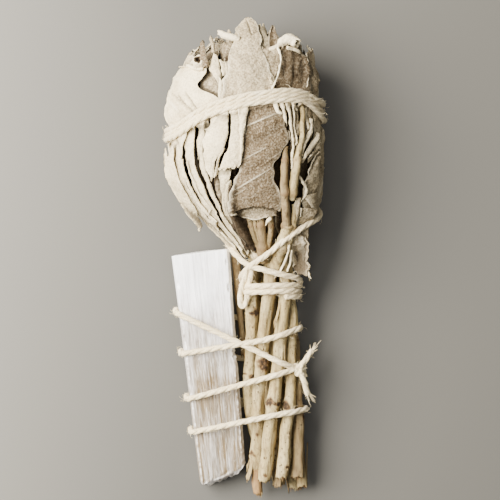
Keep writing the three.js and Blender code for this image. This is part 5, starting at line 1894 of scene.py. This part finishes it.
    def splinters(self, shape: Shape, table: np.ndarray, tone: float, draw: np.random.Generator) -> None:
        """Adds the short fibres that stand out of a cut end."""
        end, x, z, radius = table[0]
        for _ in range(7):
            angle, out = draw.uniform(0, 2 * math.pi), draw.uniform(0.35, 0.95) * radius
            long, thick = draw.uniform(0.5, 2.1), draw.uniform(0.18, 0.4)
            share = np.linspace(0, 1, 6)[:, None]
            turn = np.linspace(0, 2 * math.pi, 6, endpoint=False)
            lean = draw.uniform(-0.35, 0.35, 2)
            size = thick * (1 - 0.85 * share)
            px = x + out * math.sin(angle) + lean[0] * share * long + size * np.sin(turn)
            pz = z + out * math.cos(angle) + lean[1] * share * long + size * 0.6 * np.cos(turn)
            py = end + 0.7 - (long + 0.7) * share + 0 * turn
            rings = np.stack([px, py, np.maximum(pz, 0.15)], -1)
            shape.tube(rings, tone=tone, scar=float(draw.uniform(0, 0.5)), cut=float(draw.uniform(0.1, 0.9)))

    def shoot(self, shape: Shape, rows: Rows, tone: float, seed: int) -> None:
        """Adds a thin stem that lies on the head, from rows of [x, y, height, radius] seen from above."""
        table = np.asarray(rows, float)
        share = np.linspace(0, 1, len(table))
        at = np.linspace(0, 1, 70)
        px, py, height, radius = smooth_table(np.column_stack([share, table]), at).T
        angle, y, extra = self.skin.below(px, py, 80.0)
        height = height + extra + 0.16 * Ripple(seed, 9.0, 5, 1)(y[:, None])
        path = self.skin.point(angle, y, height)
        turn = np.linspace(0, 2 * math.pi, 14, endpoint=False)
        knots = np.exp(-(((y[:, None] - np.array([1.2, 10.2, 23.5, 37.0])) / 0.9) ** 2)).sum(1) * 0.24
        flat = 0 * y[:, None]
        round_way = [np.cos(turn) + flat, 0.25 * y[:, None] + 0 * turn, np.sin(turn) + flat]
        bark = Ripple(seed + 1, 2.0, 8)(np.stack(round_way, -1) * 2)
        size = (radius * (1 + knots))[:, None] * (1 + 0.06 * bark)
        run = unit(np.gradient(path, axis=0))
        side = unit(np.cross(run, [0.0, 0.0, 1.0]))
        up = np.cross(side, run)
        rings = ring_points(path, size[..., None], side, up, turn)
        shape.tube(rings, tone=tone, scar=np.clip(knots, 0, 0.5)[:, None] + 0 * turn, cut=0.0)

    def speckled(self) -> Grown:
        """The tree that scatters small rough scales over the bark."""
        grown = Grown("bark_scales", {"Density": 32000.0, "Size": 0.00030, "Seed": 3.0})
        scatter = grown.add(
            "GeometryNodeDistributePointsOnFaces",
            {"distribute_method": "RANDOM"},
            {"Mesh": grown.entry.outputs["Geometry"], "Density": grown.size("Density")},
        )
        grown.link(grown.size("Seed"), scatter.inputs["Seed"])
        ball = grown.add("GeometryNodeMeshIcoSphere", None, {"Radius": 1.0, "Subdivisions": 1})
        spread = grown.add("FunctionNodeRandomValue", {"data_type": "FLOAT"}, {2: 0.35, 3: 1.0, "Seed": 7})
        scale = Value(grown, spread.outputs[1]) * grown.size("Size")
        sizes = grown.add("ShaderNodeCombineXYZ", None, {0: scale, 1: scale * 2.1, 2: scale * 0.8})
        placed = grown.add(
            "GeometryNodeInstanceOnPoints", None,
            {
                "Points": scatter.outputs["Points"], "Instance": ball.outputs["Mesh"],
                "Scale": sizes.outputs[0],
            },
        )
        real = grown.add("GeometryNodeRealizeInstances", None, {"Geometry": placed.outputs[0]})
        marked = grown.add(
            "GeometryNodeStoreNamedAttribute",
            {"data_type": "FLOAT", "domain": "POINT"},
            {"Geometry": real.outputs[0], "Name": "scar", "Value": 0.45},
        )
        grown.close(marked, grown.entry, self.finish)
        return grown

    def build(self) -> None:
        """Makes every stem, and the shoots with the front one."""
        scales = self.speckled()
        for number, (name, plan) in enumerate(self.plans.items()):
            shape = Shape()
            self.stem(shape, plan, 40 + number * 10)
            if name == "stem_front":
                for count, (tone, rows) in enumerate(self.shoots):
                    self.shoot(shape, rows, tone, 200 + count)
            if name == "stem_left":
                # The twig behind the bar is dark at tone 0.85, partly brown bark and partly painted shade.
                self.stem(shape, StemPlan(self.twig, (), 0.85), 190)
            made = scales.run(shape.build(f"{name}_wood"), self.finish)
            dress(made, [name])


@dataclass
class Spar:
    """The bar of satin spar: corners seen from above as [x, y], middle heights, and its section."""

    finish: bpy.types.Material
    top_left: tuple[float, float] = (-30.6, -2.6)
    top_right: tuple[float, float] = (-6.6, 0.4)
    bottom_left: tuple[float, float] = (-18.7, -99.5)
    bottom_right: tuple[float, float] = (0.2, -92.2)
    top_z: float = 18.6
    bottom_z: float = 6.3
    half_thick: float = 6.2
    notch: tuple[float, float] = (0.47, 0.13)
    section: tuple[tuple[float, float], ...] = numbers(
        "-1 -0.55, -1 0.5, -0.93 0.94, -0.3 1.02, 0.28 0.96, 0.9 1, 1 0.68, 0.98 -0.6, 0.86 -0.98, 0 -1, "
        "-0.9 -0.96"
    )

    def point(self, t: np.ndarray, u: np.ndarray, v: np.ndarray) -> np.ndarray:
        """Places on the bar.

        Args:
            t: 0 at its top end to 1 at its bottom end.
            u: -1 at its left side to 1 at its right.
            v: -1 underneath to 1 on top.

        Returns:
            One point for each entry.
        """
        left = [self.top_left[k] * (1 - t) + self.bottom_left[k] * t for k in (0, 1)]
        right = [self.top_right[k] * (1 - t) + self.bottom_right[k] * t for k in (0, 1)]
        share = (u + 1) / 2
        x, y = (left[k] * (1 - share) + right[k] * share for k in (0, 1))
        thick = self.half_thick * (1 + 0.02 * np.sin(t * 23 + u * 5 + v * 3))
        z = self.top_z * (1 - t) + self.bottom_z * t + v * thick
        return np.stack([x, y, z], -1)

    def outline(self) -> tuple[np.ndarray, np.ndarray]:
        """The section as close points with small rounded corners, and how sharp each place is."""
        corners = np.array(self.section)
        points, sharp = [], []
        for i, here in enumerate(corners):
            before, after = corners[i - 1], corners[(i + 1) % len(corners)]
            into, out = (here - before) * SPAR_HALF, (after - here) * SPAR_HALF
            long_in, long_out = np.linalg.norm(into), np.linalg.norm(out)
            bend = 1 - float(into @ out) / (long_in * long_out)
            cut_in, cut_out = min(0.35, long_in * 0.3) / long_in, min(0.35, long_out * 0.3) / long_out
            for k in (cut_in, cut_in / 3):
                points.append(here + (before - here) * k)
                sharp.append(min(1.0, bend * 2.2))
            points.append(here + ((before - here) * cut_in + (after - here) * cut_out) * 0.22)
            sharp.append(min(1.0, bend * 2.2))
            for k in (cut_out / 3, cut_out):
                points.append(here + (after - here) * k)
                sharp.append(min(1.0, bend * 2.2))
            count = int(long_out / 0.42)
            for k in np.linspace(cut_out, 1 - cut_out, count + 2)[1:-1]:
                points.append(here + (after - here) * k)
                sharp.append(0.0)
        return np.array(points), np.array(sharp)

    def build(self) -> None:
        """Makes the bar."""
        section, sharp = self.outline()
        run = np.concatenate([[0], np.cumsum(np.linalg.norm(np.diff(section * SPAR_HALF, axis=0), axis=1))])
        t = np.unique(
            np.concatenate([
                np.linspace(0, 0.02, 5), np.linspace(0.02, 0.98, 128), np.linspace(0.98, 1, 5),
            ]),
        )
        u, v = section[:, 0] + 0 * t[:, None], section[:, 1] + 0 * t[:, None]
        chip = np.exp(-(((t - self.notch[0]) / 0.028) ** 2))[:, None] * np.clip((u - 0.62) / 0.38, 0, 1)
        bites = Ripple(61, 9.0, 9, 2)(np.stack([t[:, None] * SPAR_LENGTH + 0 * u, run * 0.8 + 0 * u], -1))
        nibble = np.clip(bites - 1.0, 0, 1) * sharp
        fine = Ripple(62, 2.6, 9, 2)(np.stack([t[:, None] * SPAR_LENGTH + 0 * u, run * 0.8 + 0 * u], -1))
        rim = np.exp(-(((1 - np.abs(u)) * 11 / 0.75) ** 2)) * np.clip((v - 0.5) / 0.4, 0, 1)
        rim = rim + np.exp(-((np.minimum(t, 1 - t)[:, None] * SPAR_LENGTH / 0.8) ** 2))
        worn = np.clip(
            chip * 1.2 + nibble * 2.5 + sharp * 0.25 * (1 + fine) + rim * (0.55 + 0.2 * fine), 0, 1,
        )
        bottom = np.clip((t[:, None] - 0.955) / 0.045, 0, 1)
        u = u - self.notch[1] * chip * (1 + 0.4 * fine) - 0.05 * nibble * np.sign(u)
        v = v * (1 - 0.16 * nibble) * (1 - 0.12 * chip) * (1 - 0.10 * bottom**2 * (1 + 0.5 * fine))
        points = self.point(t[:, None] + 0 * u, u, v)
        corner = np.clip((u - 0.72) / 0.28, 0, 1) * np.clip((t[:, None] - 0.93) / 0.07, 0, 1)
        points[..., 1] += 2.6 * corner**2
        lower = np.clip((-u - 0.86) / 0.14, 0, 1) * bottom
        points[..., 1] += 1.6 * lower**2
        middle = points.mean(axis=1, keepdims=True)
        outward = (points - middle) * [0.35, 0, 1]
        outward = unit(outward)
        arc, along = run + 0 * u, t[:, None] * SPAR_LENGTH + 0 * u
        silk = Ripple(63, 1.1, 12, 2)(np.stack([arc, along * 0.03], -1))
        bands = Ripple(64, 3.4, 9, 2)(np.stack([arc, along * 0.06], -1))
        steps = np.tanh(5 * Ripple(65, 7.0, 7, 2)(np.stack([arc, along * 0.16], -1)))
        relief = 0.045 * silk + 0.035 * bands + 0.03 * steps + 0.05 * fine * (worn > 0.3)
        points = points + outward * relief[..., None]
        ends = []
        marks = []
        for share, depth in ((0.0, 0.55), (0.3, 0.5), (0.62, 0.4), (0.86, 0.2), (0.965, 0.02)):
            first, last = points[0], points[-1]
            low = first.mean(0) + (first - first.mean(0)) * share
            high = last.mean(0) + (last - last.mean(0)) * share
            grit = 0.22 * Ripple(66, 1.3, 9)(low * [1, 0, 1])
            grit = (grit + 0.3 * np.abs(Ripple(67, 2.9, 7)(low * [1, 0, 0.4]))) * (share < 0.9)
            low[:, 1] += 0.35 * (1 - share) + grit * 0.35
            high[:, 1] -= depth * 1.6 + grit * 1.6
            ends.append((low, high))
            marks.append(0.45 + 0.3 * (share > 0.9))
        everything = np.concatenate([[low for low, _ in ends], points, [high for _, high in ends[::-1]]])
        worn = np.concatenate([
            np.repeat(np.array(marks)[:, None], len(run), 1), worn,
            np.repeat(np.array(marks[::-1])[:, None], len(run), 1),
        ])
        down = np.concatenate([[along[0]] * 5, along, [along[-1]] * 5])
        across = run + 0 * down
        along = down.copy()
        for ring in (0, 1, 2, 3, 4, -5, -4, -3, -2, -1):
            across[ring], along[ring] = everything[ring, :, 0] * 1.3, everything[ring, :, 2] * 9
        everything[..., 2] = np.maximum(everything[..., 2], FLOOR_GAP)
        shape = Shape()
        shape.tube(everything, along=along, across=across, down=down, worn=worn)
        made = shape.build("satin_spar_bar")
        made.data.materials.append(self.finish)
        dress(made, ["satin_spar"])


@dataclass
class Strings:
    """The two cotton strings: one round the neck and the head, one round the bar and the stems."""

    skin: Skin
    drape: Drape
    spar: Spar
    stems: Stems
    finish: bpy.types.Material
    wraps: tuple[float, ...] = (-14.9, -17.3)
    half_wrap: tuple[float, float, float] = (30.0, 175.0, -19.4)
    crossing: tuple[Rows, ...] = (
        numbers(
            "128 57.5, 136 49, 142 40, 142 30, 134 22, 112 17.6, 84 14.0, 54 10.2, 25 4.4, -4 -1.6, "
            "-42 -7, -80 -11, -130 -14.6"
        ),
        numbers(
            "-126 51, -136 44, -142 33, -140 19, -126 8, -102 2.2, -74 -1.8, -52 -5.6, -10 -8.4, 30 -10.6, "
            "70 -12, 110 -14.4"
        ),
    )
    passes: tuple[tuple[bool, Rows], ...] = (
        (True, numbers("24 -50.6, -1 -40.4, -29 -26.2")), (False, numbers("-29 -25.2, 24 -32")),
        (True, numbers("24 -32.4, 11 -37, -1 -39.4, -27 -43.6")), (False, numbers("-27 -42.6, 24 -49")),
        (True, numbers("24 -48.8, 6 -54.4, -6 -58.6, -24 -62.6")), (False, numbers("-24 -61.6, 26 -66.6")),
        (True, numbers("26 -66.8, 10.6 -69.4, -2 -72.6, -22 -76.6")), (False, numbers("-22 -75.6, 25 -52.4")),
    )
    knot: tuple[float, float] = (22.6, -50.2)

    def spun(self) -> Grown:
        """The tree that spins a path into a soft three-ply string with loose fibres."""
        grown = Grown(
            "cotton_plies",
            {
                "Ply Radius": 0.00082, "Ply Offset": 0.00046, "Pitch": 0.0135, "Step": 0.00042,
                "Fuzz": 90000.0, "Hair": 0.0011,
            },
        )
        curve = grown.add("GeometryNodeMeshToCurve", None, {"Mesh": grown.entry.outputs["Geometry"]})
        even = grown.add("GeometryNodeResampleCurve", {"mode": "LENGTH"}, {"Curve": curve.outputs[0]})
        grown.link(grown.size("Step"), even.inputs["Length"])
        length = Value(grown, grown.add("GeometryNodeSplineParameter").outputs["Length"])
        normal = grown.add("GeometryNodeInputNormal").outputs["Normal"]
        tangent = grown.add("GeometryNodeInputTangent").outputs[0]
        cross = grown.add("ShaderNodeVectorMath", {"operation": "CROSS_PRODUCT"}, {0: normal, 1: tangent})
        other = cross.outputs[0]
        uneven = Value(
            grown, grown.add("ShaderNodeTexNoise", None, {"Scale": 260.0, "Detail": 2.0}).outputs[0],
        )
        join = grown.add("GeometryNodeJoinGeometry")
        for ply in range(3):
            turn = length / grown.size("Pitch") * (2 * math.pi) + ply * 2 * math.pi / 3
            reach = grown.size("Ply Offset") * (0.7 + uneven * 0.6)
            parts = []
            for way, share in ((normal, turn.cosine() * reach), (other, turn.sine() * reach)):
                scaled = grown.add("ShaderNodeVectorMath", {"operation": "SCALE"}, {0: way, "Scale": share})
                parts.append(scaled.outputs[0])
            offset = grown.add("ShaderNodeVectorMath", {"operation": "ADD"}, {0: parts[0], 1: parts[1]})
            moved = grown.add(
                "GeometryNodeSetPosition", None, {"Geometry": even.outputs[0], "Offset": offset.outputs[0]},
            )
            ring = grown.add("GeometryNodeCurvePrimitiveCircle", None, {"Resolution": 8})
            grown.link(grown.size("Ply Radius"), ring.inputs["Radius"])
            thick = grown.add("GeometryNodeSetCurveRadius", None, {"Curve": moved.outputs[0]})
            grown.link(0.72 + uneven * 0.56, thick.inputs["Radius"])
            tube = grown.add(
                "GeometryNodeCurveToMesh", None,
                {"Curve": thick.outputs[0], "Profile Curve": ring.outputs[0], "Fill Caps": True},
            )
            grown.link(tube.outputs[0], join.inputs[0])
        scatter = grown.add(
            "GeometryNodeDistributePointsOnFaces", {"distribute_method": "RANDOM"},
            {"Mesh": join.outputs[0], "Seed": 5},
        )
        grown.link(grown.size("Fuzz"), scatter.inputs["Density"])
        bow = grown.add(
            "GeometryNodeCurvePrimitiveBezierSegment", None,
            {
                "Resolution": 4, "Start": (0, 0, 0), "Start Handle": (0.1, 0, 0.5),
                "End Handle": (0.5, 0.2, 0.9), "End": (1.1, 0.4, 0.8),
            },
        )
        thin = grown.add("GeometryNodeCurvePrimitiveCircle", None, {"Resolution": 3, "Radius": 0.035})
        hair = grown.add(
            "GeometryNodeCurveToMesh", None, {"Curve": bow.outputs[0], "Profile Curve": thin.outputs[0]},
        )
        spread = grown.add("FunctionNodeRandomValue", {"data_type": "FLOAT"}, {2: 0.35, 3: 1.7, "Seed": 8})
        spin = grown.add("FunctionNodeRandomValue", {"data_type": "FLOAT"}, {2: 0.0, 3: 6.28, "Seed": 9})
        turned = grown.add("ShaderNodeCombineXYZ", None, {2: Value(grown, spin.outputs[1])})
        rotated = grown.add(
            "FunctionNodeRotateRotation", {"rotation_space": "LOCAL"},
            {0: scatter.outputs["Rotation"], 1: turned.outputs[0]},
        )
        placed = grown.add(
            "GeometryNodeInstanceOnPoints",
            None,
            {
                "Points": scatter.outputs["Points"],
                "Instance": hair.outputs[0],
                "Rotation": rotated.outputs[0],
                "Scale": Value(grown, spread.outputs[1]) * grown.size("Hair"),
            },
        )
        real = grown.add("GeometryNodeRealizeInstances", None, {"Geometry": placed.outputs[0]})
        grown.close(real, join, self.finish)
        return grown

    def even(self, points: np.ndarray, step: float = 0.7, passes: int = 2) -> np.ndarray:
        """Points an even step apart on a softened line."""
        for _ in range(2):
            run = np.concatenate([[0], np.cumsum(np.linalg.norm(np.diff(points, axis=0), axis=1))])
            keep = np.concatenate([[True], np.diff(run) > 1e-6])
            run, points = run[keep], points[keep]
            at = np.linspace(0, run[-1], max(3, int(run[-1] / step)))
            points = np.stack([np.interp(at, run, points[:, k]) for k in range(3)], -1)
            for _ in range(passes):
                points[1:-1] = (points[:-2] + 2 * points[1:-1] + points[2:]) / 4
        return points

    def taut(
        self, angle: np.ndarray, y: np.ndarray, floor: float, cap: float | np.ndarray = 9.0
    ) -> np.ndarray:
        """A string's path drawn tight over what lies on the skin.

        Args:
            angle: angles along the path.
            y: heights along the bundle.
            floor: the least height of the string's middle off the skin.
            cap: the height that nothing under the string may push it past.

        Returns:
            Points of the path.
        """
        need = np.clip(self.drape.under(angle, y, 2) + STRING_RADIUS, floor, cap)
        height = need.copy()
        for _ in range(240):
            height[1:-1] = np.maximum(need[1:-1], (height[:-2] + height[2:]) / 2)
        for _ in range(6):
            height[1:-1] = (height[:-2] + 2 * height[1:-1] + height[2:]) / 4
        points = self.skin.point(angle, y, height)
        points[:, 2] = np.maximum(points[:, 2], STRING_RADIUS + FLOOR_GAP)
        return points

    def over_skin(self, rows: Rows, floor: float = 1.3, cap: float = 9.0) -> np.ndarray:
        """A taut path through rows of [angle, y]."""
        table = np.asarray(rows, float)
        read = smooth_line(table, 260)
        return self.even(self.taut(read[:, 0], read[:, 1], floor, cap))

    def crossed(self, line: Rows, swell: float) -> tuple[np.ndarray, np.ndarray]:
        """The bar and the stems where a slanted pass of string crosses them.

        Args:
            line: [x, y] places of the pass.
            swell: how far off the surfaces the string's middle runs.

        Returns:
            Points [x, z] of the swollen outlines, and the pass sorted by x.
        """
        rows = np.array(sorted(line, key=lambda row: row[0]), float)
        outline = []
        turn = np.linspace(0, 2 * math.pi, 24, endpoint=False)
        for name, plan in self.stems.plans.items():
            table = self.stems.line(plan)
            read = smooth_table(table, np.array([-50.0]))[0]
            for _ in range(4):
                read = smooth_table(table, np.array([np.interp(read[0], rows[:, 0], rows[:, 1])]))[0]
            reach = read[2] + swell
            outline.append(np.stack([read[0] + reach * np.cos(turn), read[1] + reach * np.sin(turn)], -1))
        for u, v in self.spar.section:
            t = np.array(0.5)
            for _ in range(6):
                place = self.spar.point(t, np.array(u), np.array(v))
                t = t + (place[1] - np.interp(place[0], rows[:, 0], rows[:, 1])) / 96
            outline.append(np.stack([place[0] + swell * np.cos(turn), place[2] + swell * np.sin(turn)], -1))
        return np.concatenate(outline), rows

    def hull(self, outline: np.ndarray, front: bool) -> np.ndarray:
        """The taut half over the front or under the back of an outline, from left to right."""
        sign = 1 if front else -1
        points = sorted((x, z * sign) for x, z in outline.tolist())
        kept: list[tuple[float, float]] = []
        for p in points:
            while len(kept) > 1:
                a, b = kept[-2], kept[-1]
                if (b[0] - a[0]) * (p[1] - a[1]) - (b[1] - a[1]) * (p[0] - a[0]) < 0:
                    break
                kept.pop()
            kept.append(p)
        return np.array([(x, z * sign) for x, z in kept])

    def long_route(self) -> np.ndarray:
        """The long string's path round the bar and the stems."""
        route = []
        for front, line in self.passes:
            outline, rows = self.crossed(line, STRING_RADIUS + 0.12)
            half = self.hull(outline, front)
            y = np.interp(half[:, 0], rows[:, 0], rows[:, 1])
            points = np.stack([half[:, 0], y, half[:, 1]], -1)
            if line[0][0] > line[-1][0]:
                points = points[::-1]
            route.append(points)
        return np.concatenate(route)

    def twisted_knot(self, middle: np.ndarray, size: float) -> np.ndarray:
        """A small overhand knot, drawn tight."""
        s = np.linspace(0, 2 * math.pi, 120)
        x = (np.sin(s) + 2 * np.sin(2 * s)) * size * 0.42
        y = (np.cos(s) - 2 * np.cos(2 * s)) * size * 0.42
        z = -np.sin(3 * s) * size * 0.42
        return middle + np.stack([x * 0.8, y * 1.05, z], -1)

    def frayed(self, points: np.ndarray, seed: int, long: float, strands: int = 9) -> list[np.ndarray]:
        """Loose strands that spread from the end of a path."""
        draw = np.random.default_rng(seed)
        way = points[-1] - points[-4]
        way /= np.linalg.norm(way)
        made = []
        for _ in range(strands):
            lean, bend = draw.normal(0, 0.28, 3), draw.normal(0, 0.5, 3)
            s = np.linspace(0, 1, 12)[:, None]
            start = points[-3] + draw.normal(0, 0.25, 3)
            made.append(start + (way + lean) * s * long * draw.uniform(0.5, 1.0) + bend * s**2 * 1.6)
        return made

    def strung(
        self, name: str, paths: list[np.ndarray], strands: list[np.ndarray], tree: Grown
    ) -> bpy.types.Object:
        """Spins paths into one string piece.

        Args:
            name: the piece's name.
            paths: the middle lines of the string.
            strands: thin loose strands.
            tree: the tree that spins them.

        Returns:
            The finished object, still undressed.
        """
        points = (np.concatenate(paths) - BASE_MIDDLE) / 1000.0
        edges, count = [], 0
        for path in paths:
            edges += [(count + i, count + i + 1) for i in range(len(path) - 1)]
            count += len(path)
        mesh = bpy.data.meshes.new(name)
        mesh.from_pydata(points.tolist(), edges, [])
        made = bpy.data.objects.new(name, mesh)
        bpy.context.scene.collection.objects.link(made)
        tree.run(made, self.finish)
        if not strands:
            return made
        loose = Shape()
        turn = np.linspace(0, 2 * math.pi, 5, endpoint=False)
        for strand in strands:
            run = unit(np.gradient(strand, axis=0))
            side = unit(np.cross(run, [0.31, 0.22, 0.92]))
            up = np.cross(side, run)
            size = np.linspace(0.24, 0.07, len(strand))[:, None, None]
            rings = ring_points(strand, size, side, up, turn)
            loose.tube(rings)
        extra = loose.build(f"{name}_fray")
        extra.data.materials.append(self.finish)
        dress(extra, [])
        return made

    def build(self) -> None:
        """Makes both strings."""
        tree = self.spun()
        turns = []
        for turn in range(3):
            angle = np.arange(-180, 180, 2.0)
            split = np.clip(np.minimum((angle - 52) / 30, (175 - angle) / 60), 0, 1)
            turns.append(
                np.stack(
                    [angle, self.skin.band_height(angle) + (1 - turn) * (1.85 + 1.5 * split) + angle / 360],
                    -1,
                ),
            )
        rows = np.concatenate(turns)
        side = np.abs(rows[:, 0])
        paths = [
            self.even(self.taut(rows[:, 0], rows[:, 1], 0.7, 3.4 - 2.4 * np.clip((side - 40) / 25, 0, 1))),
        ]
        for y in self.wraps:
            paths.append(
                self.over_skin(
                    [[a, y + 0.25 * math.sin(math.radians(a * 2))] for a in range(0, 361, 10)], 1.25,
                ),
            )
        first, last, y = self.half_wrap
        paths.append(self.over_skin([[a, y] for a in np.arange(first, last, 10)], 1.25))
        for stretch in self.crossing:
            paths.append(self.over_skin(stretch, 1.35, 1.9))
        loop = numbers(
            "3.2 -5.6 28.6, 2.6 -9.5 28.0, 1.6 -14.5 26.2, 0.9 -20.0 24.4, 0.1 -23.2 23.7, "
            "-1.2 -24.0 23.5, -2.0 -22.0 23.6, -1.4 -16.0 25.2, 0.4 -10.5 27.3, 1.9 -6.6 28.8"
        )
        table = np.array(loop)
        paths.append(
            self.even(
                smooth_table(
                    np.column_stack([np.arange(len(loop)), table]), np.linspace(0, len(loop) - 1, 120),
                ),
            ),
        )
        made = self.strung("head_string_spun", paths, [], tree)
        dress(made, ["head_string"])
        route = self.long_route()
        near = np.hypot(route[:, 0] - self.knot[0], route[:, 1] - self.knot[1]) - route[:, 2] * 0.05
        middle = route[near.argmin()] + [0, 0, 0.9]
        paths = [self.even(route), self.twisted_knot(middle, 1.55)]
        strands = []
        tails = (
            (numbers("0 0 0, 1.6 2.2 0.9, 4.0 5.2 0.2, 5.6 7.8 -1.2"), 5.0, 11),
            (numbers("0 0 0, 1.8 -3.0 0.4, 3.2 -7.5 -1.2, 3.9 -10.5 -2.6"), 8.5, 13),
        )
        for number, (rows, long, count) in enumerate(tails):
            table = np.array(rows, float) + middle
            path = self.even(
                smooth_table(
                    np.column_stack([np.arange(len(rows)), table]), np.linspace(0, len(rows) - 1, 40),
                ),
            )
            paths.append(path)
            strands += self.frayed(path, 90 + number, long, count)
        made = self.strung("crystal_string_spun", paths, strands, tree)
        dress(made, ["crystal_string"])


@dataclass
class Studio:
    """The floor, the lights and the camera above."""

    floor: bpy.types.Material
    distance: float = 1.4

    def lamp(
        self, name: str, place: tuple[float, float, float], size: float, watts: float, colour: Colour
    ) -> None:
        """Adds a soft square lamp that shines at the bundle."""
        data = bpy.data.lights.new(name, "AREA")
        data.size, data.energy, data.color = size, watts, colour
        made = bpy.data.objects.new(name, data)
        made.location = place
        aim = np.array([0.0, 0.0, 0.02]) - np.array(place)
        flat = math.hypot(aim[0], aim[1])
        made.rotation_euler = (math.atan2(flat, -aim[2]), 0.0, math.atan2(aim[1], aim[0]) - math.pi / 2)
        bpy.context.scene.collection.objects.link(made)

    def build(self) -> None:
        """Sets the stage."""
        mesh = bpy.data.meshes.new("floor")
        mesh.from_pydata([(-3, -3, 0), (3, -3, 0), (3, 3, 0), (-3, 3, 0)], [], [(0, 1, 2, 3)])
        mesh.materials.append(self.floor)
        ground = bpy.data.objects.new("floor", mesh)
        bpy.context.scene.collection.objects.link(ground)
        self.lamp("window", (-0.52, 0.16, 0.60), 0.72, 50.0, (1.0, 0.965, 0.90))
        self.lamp("ceiling", (0.1, 0.2, 1.9), 1.2, 10.0, (1.0, 0.98, 0.95))
        world = bpy.data.worlds.new("room")
        world.use_nodes = True
        world.node_tree.nodes["Background"].inputs[0].default_value = (1.0, 0.98, 0.95, 1.0)
        world.node_tree.nodes["Background"].inputs[1].default_value = 0.145
        bpy.context.scene.world = world
        lens = bpy.data.cameras.new("camera")
        lens.sensor_width = 36.0
        lens.lens = 36.0 * self.distance / 0.2125
        lens.clip_end = 20.0
        camera = bpy.data.objects.new("camera", lens)
        camera.location = ((VIEW_X - BASE_MIDDLE[0]) / 1000.0, -BASE_MIDDLE[1] / 1000.0, self.distance)
        bpy.context.scene.collection.objects.link(camera)
        bpy.context.scene.camera = camera


def main() -> None:
    """Builds the stage and every piece of the smudge stick."""
    logging.basicConfig(level=logging.INFO, format="%(name)s %(message)s")
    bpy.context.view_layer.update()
    Studio(FloorFinish().build()).build()
    skin = Skin()
    head = LeafyHead(skin)
    head.build(LeafFinish().build())
    stems = Stems(skin, StemFinish().build())
    stems.build()
    spar = Spar(SparFinish().build())
    spar.build()
    Strings(skin, head.drape, spar, stems, CottonFinish().build()).build()


if __name__ == "__main__":
    main()
